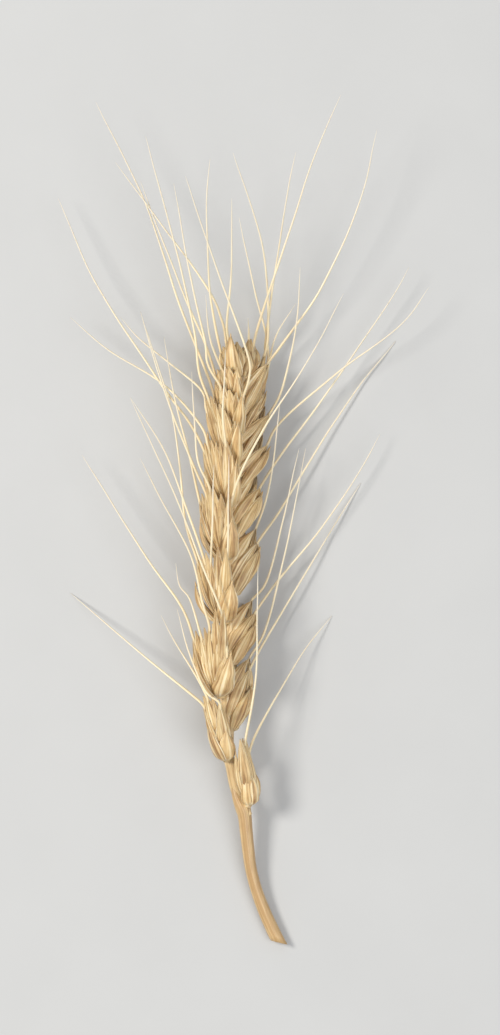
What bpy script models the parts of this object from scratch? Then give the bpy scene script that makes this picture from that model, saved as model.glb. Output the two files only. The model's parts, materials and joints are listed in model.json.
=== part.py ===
"""A dry, bearded ear of wheat with a short cut stalk, lying on its side on a flat surface.

The stalk points towards -Y and the tip of the ear towards +Y. The surface is the plane z = 0.
Sizes and places below are in millimetres; the meshes are made in metres.
"""

import math
from collections import namedtuple

import bmesh
import bpy
from mathutils import Vector

MM = 0.001
GAP = 0.35  # between a spikelet and what it grows from

# The stalk (culm) from its cut end up to the collar under the ear: centre and radius.
STALK = (
    ((6.5, -76.0, 1.12), 1.2),
    ((5.3, -73.6, 1.25), 1.2),
    ((3.7, -70.0, 1.45), 1.15),
    ((2.4, -66.4, 1.8), 1.1),
    ((1.45, -62.8, 2.3), 1.1),
    ((0.95, -59.2, 2.9), 1.15),
    ((0.6, -56.0, 3.45), 1.2),
    ((0.3, -53.0, 4.0), 1.28),
)
STALK_SIDES = 12
CUT_NORMAL = (0.24, -0.97, 0.0)  # the slanted cut across the stalk
COLLAR_AT = -51.7  # along the ear
COLLAR_RADIUS = 1.45
COLLAR_TAPER = 0.9  # above its widest ring it narrows to the axis over this distance

# The middle line of the ear's axis (rachis), from the collar to the top.
AXIS = (
    (0.1, -52.0, 4.2),
    (-0.9, -49.9, 4.35),
    (-1.6, -47.8, 4.5),
    (-2.0, -45.2, 4.7),
    (-2.3, -42.5, 4.9),
    (-2.8, -37.5, 5.2),
    (-3.1, -33.0, 5.45),
    (-2.7, -25.0, 5.8),
    (-2.4, -18.0, 6.1),
    (-2.2, -12.5, 6.2),
    (-1.9, -5.0, 6.3),
    (-1.4, 3.0, 6.4),
    (-0.8, 11.0, 6.65),
    (-0.3, 18.0, 7.1),
    (-0.1, 25.5, 7.4),
)
AXIS_FLAT_TURN = 48.0  # degrees: which way the flat side of the axis looks
AXIS_SIDES = 8
NODE_HALF = (1.3, 0.8)  # half width and half thickness of the axis at a node
WAIST_HALF = (1.0, 0.55)  # and just above it
AXIS_TOP_SHRINK = 0.6  # its width at the top, as a share of that at the collar
AXIS_SINK = 1.0  # how far its lower end reaches into the collar
ZIGZAG = 0.25  # how far each node stands out to its own side

# How the axis swells round each node: distance from the node along the ear, the share of the
# way from waist to node size, and the share of the zigzag.
NODE_SHAPE = ((-1.6, 0.55, 0.6), (-0.2, 1.0, 1.0), (0.45, 0.0, 0.5))
AXIS_TOP_SWELL = 0.3
CLOSEST_RINGS = 0.55

# Bracts. A profile gives the half width along a bract, as a share of the widest.
GLUME_PROFILE = ((0.0, 0.5), (0.14, 0.88), (0.38, 1.0), (0.64, 0.84), (0.86, 0.48), (1.0, 0.1))
LEMMA_PROFILE = ((0.0, 0.4), (0.2, 0.8), (0.45, 1.0), (0.7, 0.78), (0.88, 0.42), (1.0, 0.2))
SLIM_PROFILE = ((0.0, 0.3), (0.16, 0.55), (0.38, 0.86), (0.62, 1.0), (0.85, 0.66), (1.0, 0.2))
BRACT_SIDES = 6
GLUME_BULGE = 1.15
LEMMA_BULGE = 0.95
MIDDLE_HALF_WIDTH = 2.1
SIDE_SHARE = 0.56  # half width of a bract on the side, as a share of the spikelet's thickness
INNER_SHARE = 0.35  # a bract's inner face is this much flatter than its back
# Degrees about the spikelet that each bract's back is turned, and its place in the spread.
FACING = {"far": -58.0, "inner": -24.0, "mid": 0.0, "front": 22.0, "near": 50.0}
SLIM_FACING = {"far": -95.0, "inner": 60.0, "mid": 30.0, "near": 95.0}
PLACE = {"far": -1.0, "inner": -0.45, "mid": 0.0, "front": 0.4, "near": 1.0}
SLIM_BELOW = 0.3  # a spikelet with less spread than this is narrow at its foot
FOOT_UP = 0.1  # where a bract starts, as a share of the spikelet's thickness
FOOT_SPREAD = 0.45
BELLY_UP = 0.5
BELLY_LEAN = 0.55
FOOT_DEPTH, BELLY_DEPTH, TIP_DEPTH = 0.4, 0.5, 0.42  # of the spikelet's thickness
CORE_LENGTH = 0.72  # of the longest bract
CORE_BULGE = 0.42  # of the spikelet's thickness
HIDDEN_GLUME_LENGTH = 0.66  # of the longest bract
HIDDEN_LEMMA_LENGTH = 0.92
HIDDEN_ACROSS = -1.9  # where the tips of bracts lie that the other row hides
BASE_RISE = 0.6  # a spikelet starts this far above its node
TOP_SINK = 0.45  # the top spikelet's middle stands over the end of the axis

# Awns: three-sided, thick at the root and fine at the tip.
AWN_ROOT_RADIUS = 0.31
AWN_TIP_RADIUS = 0.14
AWN_SIDES = 3
AWN_STEP = 6.0

# One row of bracts with an awn is: place in the spikelet, root (x, y), points (x, y) along the
# awn out to its tip, and the height of its tip above the surface. A root's height follows from
# the spikelet.
Spikelet = namedtuple("Spikelet", "name node turn lean thick spread near_glume far_glume awned")

SPIKELETS = (
    Spikelet("spikelet_left_1", -42.8, 22, 18, 2.7, 0.4, (-3.4, -34.4), (-6.3, -36.2), (
        ("far", (-7.2, -33.1), ((-9.5, -31.0), (-20.3, -22.3), (-31.1, -13.0)), 0.14),
        ("mid", (-6.7, -31.1), ((-8.3, -28.1), (-12.2, -22.0), (-14.8, -16.9)), 6.0),
        ("near", (-4.3, -32.6), ((-6.8, -30.4), (-9.7, -23.6), (-11.9, -15.7)), 10.0),
    )),
    Spikelet("spikelet_left_2", -31.3, 38, 22, 3.3, 1.0, (-2.2, -24.1), (-8.8, -23.2), (
        ("far", (-9.0, -20.9), ((-11.3, -15.1), (-18.5, -4.9), (-29.0, 11.9)), 5.0),
        ("mid", (-7.7, -20.2), ((-9.5, -14.2), (-11.5, -11.5), (-12.1, -7.6)), 9.0),
        ("inner", (-6.1, -18.7), ((-7.4, -14.2), (-9.5, -5.8), (-14.9, 4.1), (-18.5, 11.3)), 12.0),
        ("front", (-4.4, -20.4), (), 0.0),
        ("near", (-2.9, -23.6), ((-3.8, -16.9), (-7.7, -7.0), (-11.7, 3.4), (-20.2, 22.1)), 21.0),
    )),
    Spikelet("spikelet_left_3", -18.2, 36, 22, 3.3, 1.0, (-2.0, -11.2), (-8.5, -11.5), (
        ("far", (-8.3, -7.0), ((-10.3, -0.7), (-11.3, 9.2), (-13.0, 20.0), (-18.4, 37.6)), 9.0),
        ("mid", (-7.2, -6.3), ((-9.5, 0.2), (-14.0, 12.4), (-20.2, 22.1)), 12.0),
        ("inner", (-5.8, -7.0), ((-5.6, -1.6), (-5.4, 3.8), (-5.2, 10.1)), 17.0),
        ("front", (-4.2, -7.6), (), 0.0),
        ("near", (-3.1, -11.0), ((-2.7, -3.4), (-2.7, 3.8), (-2.5, 11.9)), 20.0),
    )),
    Spikelet("spikelet_left_4", -7.0, 36, 22, 3.1, 1.0, (-2.0, 0.2), (-7.6, -0.2), (
        ("far", (-7.9, 4.0), ((-9.7, 11.9), (-12.1, 20.9), (-14.2, 33.1)), 10.0),
        ("mid", (-6.7, 4.9), ((-9.2, 10.6), (-14.0, 23.0), (-16.7, 31.3), (-18.4, 37.6)), 14.0),
        ("inner", (-6.1, 6.1), ((-8.1, 10.6), (-8.6, 16.4), (-9.2, 26.8)), 17.0),
        ("front", (-4.2, 4.0), (), 0.0),
        ("near", (-2.5, 1.1), ((-1.1, 6.8), (3.4, 16.0), (12.1, 29.5), (18.0, 40.7)), 24.0),
    )),
    Spikelet("spikelet_left_5", 2.5, 36, 24, 2.6, 1.0, (-1.2, 10.4), (-6.8, 9.2), (
        ("far", (-7.2, 13.1), ((-9.5, 17.5), (-14.9, 24.8), (-26.6, 43.0), (-33.3, 58.1)), 4.0),
        ("mid", (-6.3, 13.5), ((-7.7, 17.3), (-14.0, 24.3), (-24.3, 30.8), (-31.1, 36.7)), 5.0),
        ("inner", (-4.9, 14.2), (), 0.0),
        ("near", (-3.2, 14.6), ((-3.6, 19.1), (-3.4, 25.4), (-3.1, 30.8)), 19.0),
    )),
    Spikelet("spikelet_left_6", 9.7, 36, 26, 2.3, 0.9, (-0.9, 17.5), (-6.3, 15.5), (
        ("far", (-6.7, 20.3), ((-7.6, 23.6), (-13.1, 28.3), (-18.5, 32.6), (-22.1, 36.7)), 6.0),
        ("mid", (-6.3, 22.1), ((-7.9, 26.8), (-8.8, 34.4), (-12.2, 49.3), (-17.5, 69.1)), 14.0),
        ("inner", (-4.9, 21.2), (), 0.0),
        ("near", (-3.4, 20.0), (), 0.0),
    )),
    Spikelet("spikelet_left_7", 15.8, 36, 28, 2.0, 0.9, (-0.2, 22.6), (-5.6, 20.9), (
        ("far", (-5.4, 23.2), ((-6.8, 27.2), (-11.3, 38.5), (-17.5, 56.9), (-26.5, 75.4)), 9.0),
        ("mid", (-4.2, 24.4), ((-6.4, 28.3), (-7.0, 33.0), (-9.9, 46.1), (-12.4, 60.5)), 19.0),
        ("front", (-2.5, 23.6), (), 0.0),
        ("near", (-0.7, 20.3), ((1.1, 25.7), (0.7, 30.4), (-4.1, 43.4), (-10.3, 61.7)), 24.0),
    )),
    Spikelet("spikelet_left_8", 21.0, 36, 28, 1.75, 0.8, (-1.0, 26.4), (-4.9, 24.5), (
        ("far", (-4.9, 25.9), ((-6.7, 31.7), (-10.3, 39.8), (-14.9, 51.5), (-18.4, 61.0)), 12.0),
        ("mid", (-4.0, 27.6), ((-5.9, 32.6), (-6.7, 40.5)), 20.0),
        ("near", (-2.4, 27.2), (), 0.0),
    )),
    Spikelet("spikelet_left_9", 25.5, 36, 16, 2.4, 0.35, (-2.2, 33.3), (-4.0, 30.4), (
        ("far", (-4.0, 30.4), ((-5.2, 36.2), (-6.1, 43.4), (-6.6, 56.9), (-5.9, 65.0)), 16.0),
        ("mid", (-3.0, 31.7), ((-3.8, 35.8), (-6.8, 42.5), (-16.7, 56.0), (-22.9, 64.4)), 13.0),
        ("near", (-2.5, 32.0), ((-2.9, 35.3), (-2.2, 43.4), (-2.0, 57.8)), 22.0),
    )),
    Spikelet("spikelet_right_1", -51.6, -45, 23, 2.8, 0.7, (1.9, -42.1), (-0.4, -41.6), (
        ("near", (1.1, -41.6), ((3.1, -36.7), (10.3, -24.5), (16.0, -17.1)), 0.14),
        ("far", (-0.5, -39.2), (), 0.0),
        ("mid", (0.4, -39.6), ((2.2, -28.6), (2.6, -16.0), (2.7, -7.9)), 12.0),
    )),
    Spikelet("spikelet_right_2", -37.6, -135, 16, 3.1, 0.2, (1.5, -30.1), None, (
        ("near", (1.3, -26.5), ((4.9, -20.0), (11.7, -8.6), (21.2, 6.8)), 0.14),
        ("mid", (1.2, -24.5), ((4.0, -19.6), (7.2, -7.4), (11.3, 13.1)), 6.0),
    )),
    Spikelet("spikelet_right_3", -25.6, -140, 18, 3.1, 0.2, (2.1, -18.7), None, (
        ("near", (2.2, -16.4), ((5.8, -11.3), (13.9, -1.6), (21.1, 9.2), (24.7, 15.7)), 3.0),
        ("mid", (1.6, -14.2), ((4.3, -10.6), (7.4, 1.1), (10.1, 13.1)), 8.0),
    )),
    Spikelet("spikelet_right_4", -12.9, -144, 20, 3.1, 0.2, (2.9, -5.2), None, (
        ("near", (2.7, -3.8), ((6.7, 2.0), (12.1, 11.0), (21.1, 24.5), (27.5, 32.4)), 0.14),
        ("mid", (2.3, -1.3), ((4.1, 3.8), (5.6, 11.9), (6.7, 21.8)), 9.0),
    )),
    Spikelet("spikelet_right_5", -2.6, -146, 22, 2.8, 0.2, (3.3, 4.7), None, (
        ("near", (3.1, 6.1), ((7.0, 12.2), (15.7, 23.9), (26.5, 39.8), (29.9, 45.7)), 4.0),
        ("mid", (2.4, 8.6), (), 0.0),
    )),
    Spikelet("spikelet_right_6", 6.0, -148, 26, 2.3, 0.2, (4.6, 12.8), None, (
        ("near", (4.4, 13.9), ((7.0, 18.2), (17.5, 27.0), (28.3, 35.3), (33.5, 42.1)), 7.0),
        ("mid", (3.5, 15.8), (), 0.0),
    )),
    Spikelet("spikelet_right_7", 12.0, -150, 29, 1.9, 0.1, (4.6, 19.3), None, (
        ("near", (4.8, 19.4), ((7.2, 24.5), (9.7, 36.2), (10.3, 45.7)), 8.0),
        ("mid", (3.9, 20.6), (), 0.0),
    )),
    Spikelet("spikelet_right_8", 16.4, -150, 32, 1.6, 0.1, (4.1, 23.0), None, (
        ("near", (4.1, 25.5), ((5.8, 32.9), (9.5, 39.2)), 6.0),
        ("mid", (3.6, 25.0), ((4.5, 30.8), (2.2, 41.0), (-0.7, 54.5)), 11.0),
    )),
    Spikelet("spikelet_right_9", 20.6, -150, 22, 2.2, 0.2, (4.4, 27.7), None, (
        ("near", (4.5, 28.6), ((6.7, 31.5), (13.9, 41.6), (21.1, 57.8), (24.1, 70.4)), 10.0),
        ("inner", (4.0, 30.1), ((4.3, 34.4), (7.6, 56.9), (9.5, 66.2)), 16.0),
        ("mid", (3.5, 29.0), ((4.5, 34.4), (3.6, 48.8), (-1.8, 66.1)), 17.0),
    )),
    Spikelet("spikelet_top", 25.5, -48, 2, 2.7, 0.5, (2.2, 31.0), (0.4, 31.4), (
        ("near", (1.8, 31.5), ((3.1, 36.5), (8.5, 52.4), (12.4, 64.4), (17.5, 76.3)), 22.0),
        ("mid", (1.0, 32.8), ((0.9, 36.5),), 13.0),
    )),
)

# A block under the surface, which takes off what would reach below it.
CUTTER_SIDE = 400.0
CUTTER_DEPTH = 20.0

SHARP_ANGLE = 50.0  # degrees between faces that meet in a sharp edge

# Colour, roughness and metallic value.
STRAW = ((0.62, 0.44, 0.20, 1.0), 0.55, 0.0)
STALK_STRAW = ((0.66, 0.48, 0.22, 1.0), 0.45, 0.0)


def clear_scene():
    for obj in list(bpy.data.objects):
        bpy.data.objects.remove(obj)


def make_material(name, finish):
    colour, roughness, metallic = finish
    material = bpy.data.materials.new(name)
    material.use_nodes = True
    shader = material.node_tree.nodes["Principled BSDF"]
    shader.inputs["Base Color"].default_value = colour
    shader.inputs["Roughness"].default_value = roughness
    shader.inputs["Metallic"].default_value = metallic
    return material


def catmull_rom(points, t):
    """The point at t, from 0 to len(points) - 1, on a smooth curve through the points."""
    last = len(points) - 1
    i = min(int(t), last - 1)
    u = t - i
    b, c = points[i], points[i + 1]
    a = points[i - 1] if i > 0 else b * 2 - c
    d = points[i + 2] if i + 2 <= last else c * 2 - b
    return 0.5 * (
        2 * b
        + (c - a) * u
        + (2 * a - 5 * b + 4 * c - d) * u * u
        + (3 * b - a - 3 * c + d) * u ** 3
    )


def evenly(points, step):
    """Points about one step apart along the smooth curve through the given ones, ends kept."""
    fine = [catmull_rom(points, k / 12) for k in range(12 * (len(points) - 1) + 1)]
    lengths = [0.0]
    for a, b in zip(fine, fine[1:]):
        lengths.append(lengths[-1] + (b - a).length)
    count = max(2, round(lengths[-1] / step))
    found = []
    k = 0
    for i in range(count + 1):
        want = lengths[-1] * i / count
        while k < len(fine) - 2 and lengths[k + 1] < want:
            k += 1
        share = (want - lengths[k]) / max(lengths[k + 1] - lengths[k], 1e-9)
        found.append(fine[k].lerp(fine[k + 1], share))
    return found


def loft(name, rings):
    """A closed mesh object through rings of points given in millimetres."""
    mesh = bmesh.new()
    made = [[mesh.verts.new(point * MM) for point in ring] for ring in rings]
    sides = len(made[0])
    for low, high in zip(made, made[1:]):
        for k in range(sides):
            after = (k + 1) % sides
            mesh.faces.new((low[k], low[after], high[after], high[k]))
    mesh.faces.new(list(reversed(made[0])))
    mesh.faces.new(made[-1])
    bmesh.ops.recalc_face_normals(mesh, faces=mesh.faces)
    data = bpy.data.meshes.new(name)
    mesh.to_mesh(data)
    mesh.free()
    obj = bpy.data.objects.new(name, data)
    bpy.context.scene.collection.objects.link(obj)
    return obj


def tube_rings(points, radii, sides):
    """Rings square to a path, turned as little as possible from one to the next."""
    rings = []
    across = Vector((0.0, 0.0, 1.0))
    for i, point in enumerate(points):
        along = points[min(i + 1, len(points) - 1)] - points[max(i - 1, 0)]
        along.normalize()
        across = (across - along * across.dot(along)).normalized()
        other = along.cross(across)
        angles = [2 * math.pi * k / sides for k in range(sides)]
        rings.append(
            [point + (across * math.cos(a) + other * math.sin(a)) * radii[i] for a in angles]
        )
    return rings


def axis_at(y):
    """The point of the ear's axis at a place along the ear, and the axis's direction there."""
    points = [Vector(p) for p in AXIS]
    i = 0
    while i < len(points) - 2 and points[i + 1].y < y:
        i += 1
    share = (y - points[i].y) / (points[i + 1].y - points[i].y)
    point = points[i].lerp(points[i + 1], share)
    if 0 <= share <= 1:
        point = catmull_rom(points, i + share)
    along = (points[i + 1] - points[i]).normalized()
    return point, along


def outward_at(y, turn):
    """The direction square to the axis, turned from straight up towards -X."""
    along = axis_at(y)[1]
    up = Vector((0.0, 0.0, 1.0))
    up = (up - along * up.dot(along)).normalized()
    right = along.cross(up)
    angle = math.radians(turn)
    return up * math.cos(angle) - right * math.sin(angle)


class Frame:
    """A spikelet's own frame: its base, and the directions along, across and outward."""

    def __init__(self, spikelet):
        self.spikelet = spikelet
        point, axis = axis_at(spikelet.node)
        outward = outward_at(spikelet.node, spikelet.turn)
        lean = math.radians(spikelet.lean)
        self.base = point + outward * (WAIST_HALF[1] + ZIGZAG + GAP) + axis * BASE_RISE
        if spikelet.name == "spikelet_top":
            self.base = point + axis * BASE_RISE - outward * spikelet.thick * TOP_SINK
        self.along = axis * math.cos(lean) + outward * math.sin(lean)
        self.outward = outward * math.cos(lean) - axis * math.sin(lean)
        across = self.along.cross(self.outward)
        self.across = across if across.x > 0 else -across

    def place(self, s, p, q):
        return self.base + self.along * s + self.across * p + self.outward * q

    def solve(self, x, y, q):
        """How far along and across the spikelet a point seen at (x, y) lies, q outward."""
        dx = x - self.base.x - q * self.outward.x
        dy = y - self.base.y - q * self.outward.y
        det = self.along.x * self.across.y - self.across.x * self.along.y
        s = (dx * self.across.y - dy * self.across.x) / det
        p = (self.along.x * dy - self.along.y * dx) / det
        return s, p


def bract_rings(frame, role, tip, profile, half_width, bulge):
    """Rings of a boat-shaped bract whose tip lies at (s, p), its back turned by its role."""
    thick = frame.spikelet.thick
    spread = PLACE[role] * frame.spikelet.spread
    s_tip, p_tip = tip
    low = (FOOT_UP * thick, spread * FOOT_SPREAD, FOOT_DEPTH * thick)
    belly = (BELLY_UP * s_tip, p_tip * BELLY_LEAN + spread, BELLY_DEPTH * thick)
    high = (s_tip, p_tip, TIP_DEPTH * thick)
    facing = SLIM_FACING if frame.spikelet.spread < SLIM_BELOW else FACING
    angle = math.radians(facing[role])
    back = frame.across * math.sin(angle) + frame.outward * math.cos(angle)
    width = frame.across * math.cos(angle) - frame.outward * math.sin(angle)
    rings = []
    for v, share in profile:
        weights = ((1 - v) ** 2, 2 * v * (1 - v), v * v)
        middle = (sum(w * k for w, k in zip(weights, row)) for row in zip(low, belly, high))
        centre = frame.place(*middle)
        ring = []
        for k in range(BRACT_SIDES):
            around = 2 * math.pi * (k + 0.5) / BRACT_SIDES
            out = math.sin(around) * bulge * share
            if out < 0:
                out *= INNER_SHARE
            ring.append(centre + width * math.cos(around) * half_width * share + back * out)
        rings.append(ring)
    return rings, centre


def make_bracts(frame):
    """The core, two glumes and the lemmas of one spikelet, with their awns, as loose objects."""
    spikelet = frame.spikelet
    thick = spikelet.thick
    side_half = SIDE_SHARE * thick
    slim = spikelet.spread < SLIM_BELOW
    glume_profile = SLIM_PROFILE if slim else GLUME_PROFILE
    lemma_profile = SLIM_PROFILE if slim else LEMMA_PROFILE
    longest = max(frame.solve(*row[1], TIP_DEPTH * thick)[0] for row in spikelet.awned)
    rings, _ = bract_rings(
        frame, "mid", (CORE_LENGTH * longest, 0.0), lemma_profile, MIDDLE_HALF_WIDTH, CORE_BULGE * thick
    )
    parts = [loft("core", rings)]
    for role, tip in (("near", spikelet.near_glume), ("far", spikelet.far_glume)):
        place = (HIDDEN_GLUME_LENGTH * longest, HIDDEN_ACROSS)
        if tip:
            place = frame.solve(*tip, TIP_DEPTH * thick)
        rings, _ = bract_rings(frame, role, place, glume_profile, side_half, GLUME_BULGE)
        parts.append(loft("glume", rings))
    if all(row[0] != "far" for row in spikelet.awned):
        place = (HIDDEN_LEMMA_LENGTH * longest, HIDDEN_ACROSS)
        rings, _ = bract_rings(frame, "far", place, lemma_profile, side_half, LEMMA_BULGE)
        parts.append(loft("lemma", rings))
    for role, root, points, height in spikelet.awned:
        place = frame.solve(*root, TIP_DEPTH * thick)
        half = side_half if role in ("near", "far") else MIDDLE_HALF_WIDTH
        rings, tip = bract_rings(frame, role, place, lemma_profile, half, LEMMA_BULGE)
        parts.append(loft("lemma", rings))
        if points:
            parts.append(make_awn(rings, tip, points, height))
    return parts


def make_awn(rings, root, points, height):
    """An awn that starts inside its bract and rises or sinks evenly to its tip's height."""
    below = sum(rings[-2], Vector()) / len(rings[-2])
    flat = [root.xy] + [Vector(p) for p in points]
    lengths = [0.0]
    for a, b in zip(flat, flat[1:]):
        lengths.append(lengths[-1] + (b - a).length)
    path = [below]
    for place, length in zip(flat, lengths):
        share = length / lengths[-1]
        path.append(Vector((place.x, place.y, root.z + (height - root.z) * share)))
    path = evenly(path, AWN_STEP)
    count = len(path) - 1
    taper = AWN_TIP_RADIUS - AWN_ROOT_RADIUS
    radii = [AWN_ROOT_RADIUS + taper * k / count for k in range(count + 1)]
    return loft("awn", tube_rings(path, radii, AWN_SIDES))


def join(name, parts):
    """One solid from overlapping parts."""
    body, others = parts[0], parts[1:]
    group = bpy.data.collections.new(name + "_parts")
    for other in others:
        group.objects.link(other)
    union = body.modifiers.new("union", "BOOLEAN")
    union.operation = "UNION"
    union.operand_type = "COLLECTION"
    union.collection = group
    union.solver = "MANIFOLD"  # the exact solver leaves edges that touch themselves in two nodes
    apply_modifiers(body)
    for other in others:
        bpy.data.objects.remove(other)
    bpy.data.collections.remove(group)
    body.name = name
    body.data.name = name
    return body


def apply_modifiers(obj):
    graph = bpy.context.evaluated_depsgraph_get()
    graph.update()
    data = bpy.data.meshes.new_from_object(obj.evaluated_get(graph))
    obj.modifiers.clear()
    obj.data = data


def cut_at_surface(obj):
    """Takes off what would reach below the surface, which leaves the spots that it rests on."""
    if min(vertex.co.z for vertex in obj.data.vertices) >= 0:
        return
    mesh = bmesh.new()
    bmesh.ops.create_cube(mesh, size=1.0)
    for vertex in mesh.verts:
        x, y, z = vertex.co
        vertex.co = Vector((x * CUTTER_SIDE, y * CUTTER_SIDE, (z - 0.5) * CUTTER_DEPTH)) * MM
    data = bpy.data.meshes.new("surface_cutter")
    mesh.to_mesh(data)
    mesh.free()
    cutter = bpy.data.objects.new("surface_cutter", data)
    bpy.context.scene.collection.objects.link(cutter)
    cut = obj.modifiers.new("cut", "BOOLEAN")
    cut.operation = "DIFFERENCE"
    cut.object = cutter
    apply_modifiers(obj)
    bpy.data.objects.remove(cutter)


def finish(obj, material):
    obj.data.materials.clear()
    obj.data.materials.append(material)
    obj.data.shade_smooth()
    obj.data.set_sharp_from_angle(angle=math.radians(SHARP_ANGLE))


def make_stalk_and_axis():
    """The stalk, its collar and the zigzag axis, grown as one piece."""
    points = [Vector(p) for p, _ in STALK]
    radii = [r for _, r in STALK]
    rings = tube_rings(points, radii, STALK_SIDES)
    along = (points[1] - points[0]).normalized()
    normal = Vector(CUT_NORMAL).normalized()
    rings[0] = [p + along * ((points[0] - p).dot(normal) / along.dot(normal)) for p in rings[0]]
    collar, _ = axis_at(COLLAR_AT)
    above, _ = axis_at(COLLAR_AT + COLLAR_TAPER)
    top = tube_rings([points[-1], collar, above], [radii[-1], COLLAR_RADIUS, WAIST_HALF[0]], STALK_SIDES)
    parts = [loft("stalk", rings + top[1:])]
    parts.append(loft("axis", axis_rings()))
    return join("stem_and_rachis", parts)


def axis_rings():
    """Rings of the flattened axis, wider at each node and set a little to that node's side."""
    nodes = sorted((s.node, s.turn) for s in SPIKELETS)
    first, last = AXIS[0][1] - AXIS_SINK, AXIS[-1][1]
    stations = [(first, 0.0, 0.0)]
    for node, turn in nodes[:-1]:
        side = 1.0 if turn > 0 else -1.0
        stations += [(node + offset, swell, side * share) for offset, swell, share in NODE_SHAPE]
    stations.append((last, AXIS_TOP_SWELL, 0.0))
    stations.sort()
    kept = [stations[0]]
    for station in stations[1:]:
        if station[0] - kept[-1][0] > CLOSEST_RINGS:
            kept.append(station)
    rings = []
    for y, swell, side in kept:
        centre, along = axis_at(y)
        flat = outward_at(y, AXIS_FLAT_TURN)
        wide = along.cross(flat)
        shrink = 1.0 - (1.0 - AXIS_TOP_SHRINK) * (y - first) / (last - first)
        half_wide = (WAIST_HALF[0] + (NODE_HALF[0] - WAIST_HALF[0]) * swell) * shrink
        half_thick = (WAIST_HALF[1] + (NODE_HALF[1] - WAIST_HALF[1]) * swell) * shrink
        centre = centre + flat * ZIGZAG * side
        angles = [2 * math.pi * (k + 0.5) / AXIS_SIDES for k in range(AXIS_SIDES)]
        rings.append(
            [centre + wide * math.cos(a) * half_wide + flat * math.sin(a) * half_thick for a in angles]
        )
    return rings


def main():
    clear_scene()
    stem = make_stalk_and_axis()
    cut_at_surface(stem)
    finish(stem, make_material("stalk_straw", STALK_STRAW))
    for spikelet in SPIKELETS:
        obj = join(spikelet.name, make_bracts(Frame(spikelet)))
        cut_at_surface(obj)
        finish(obj, make_material(spikelet.name + "_straw", STRAW))


main()
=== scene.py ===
"""Looks of a dry, bearded ear of wheat lying on a pale floor, seen from straight above.

Sizes and places are in millimetres unless a name says otherwise; the meshes are made in metres.
The stalk points towards -Y, the tip of the ear towards +Y, and the floor is the plane z = 0.
"""

import json
import math
import random
from collections import namedtuple

import bpy
import numpy as np
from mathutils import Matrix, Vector

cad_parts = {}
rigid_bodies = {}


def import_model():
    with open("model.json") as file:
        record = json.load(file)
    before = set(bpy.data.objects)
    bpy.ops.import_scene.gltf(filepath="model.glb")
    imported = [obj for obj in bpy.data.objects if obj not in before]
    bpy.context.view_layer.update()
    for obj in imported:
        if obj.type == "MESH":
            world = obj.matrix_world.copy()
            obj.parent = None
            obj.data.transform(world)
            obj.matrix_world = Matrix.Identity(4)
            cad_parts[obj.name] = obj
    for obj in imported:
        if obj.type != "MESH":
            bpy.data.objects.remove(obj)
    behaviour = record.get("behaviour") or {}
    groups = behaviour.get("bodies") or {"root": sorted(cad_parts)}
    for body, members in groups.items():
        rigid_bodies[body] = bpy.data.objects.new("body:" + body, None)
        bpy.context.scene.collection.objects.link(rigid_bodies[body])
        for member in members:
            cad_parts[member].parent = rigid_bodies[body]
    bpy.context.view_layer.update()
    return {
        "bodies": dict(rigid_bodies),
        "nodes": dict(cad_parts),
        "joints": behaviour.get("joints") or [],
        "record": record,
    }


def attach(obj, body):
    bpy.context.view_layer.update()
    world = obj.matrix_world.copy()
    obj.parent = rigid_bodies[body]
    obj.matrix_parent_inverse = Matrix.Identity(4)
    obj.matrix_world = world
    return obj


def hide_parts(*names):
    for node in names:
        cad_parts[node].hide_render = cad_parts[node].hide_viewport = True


MM = 0.001
SEED = 11
TURN = 2 * math.pi
GAP = 0.35  # between a spikelet's foot and the axis, which its callus bridges

# The stalk (culm) from its cut end up to the collar under the ear: centre and radius.
STALK = (
    ((6.5, -76.0, 1.12), 1.2),
    ((5.3, -73.6, 1.25), 1.2),
    ((3.7, -70.0, 1.45), 1.15),
    ((2.4, -66.4, 1.8), 1.1),
    ((1.45, -62.8, 2.3), 1.1),
    ((0.95, -59.2, 2.9), 1.15),
    ((0.6, -56.0, 3.45), 1.2),
    ((0.3, -53.0, 4.0), 1.28),
)
CUT_NORMAL = (-0.24, -0.97, 0.0)  # the slanted cut across the stalk
COLLAR_AT = -51.7  # along the ear
COLLAR = ((0.0, 1.38), (2.2, 0.95), (4.4, 0.475))  # how far above, and radius: it narrows into the axis

# The middle line of the ear's axis (rachis), from the collar to the top.
AXIS = (
    (0.1, -52.0, 4.2),
    (-0.9, -49.9, 4.35),
    (-1.6, -47.8, 4.5),
    (-2.0, -45.2, 4.7),
    (-2.3, -42.5, 4.9),
    (-2.8, -37.5, 5.2),
    (-3.1, -33.0, 5.45),
    (-2.7, -25.0, 5.8),
    (-2.4, -18.0, 6.1),
    (-2.2, -12.5, 6.2),
    (-1.9, -5.0, 6.3),
    (-1.4, 3.0, 6.4),
    (-0.8, 11.0, 6.65),
    (-0.3, 18.0, 7.1),
    (-0.1, 25.5, 7.4),
)
AXIS_FLAT_TURN = 48.0  # degrees: which way the flat side of the axis looks
NODE_HALF = (1.3, 0.8)  # half width and half thickness of the axis at a node
WAIST_HALF = (1.0, 0.55)  # and just above it
AXIS_TOP_SHRINK = 0.6
AXIS_SINK = 1.0
ZIGZAG = 0.25
NODE_SHAPE = ((-1.6, 0.55, 0.6), (-0.2, 1.0, 1.0), (0.45, 0.0, 0.5))
AXIS_TOP_SWELL = 0.3
CLOSEST_RINGS = 0.55

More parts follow.
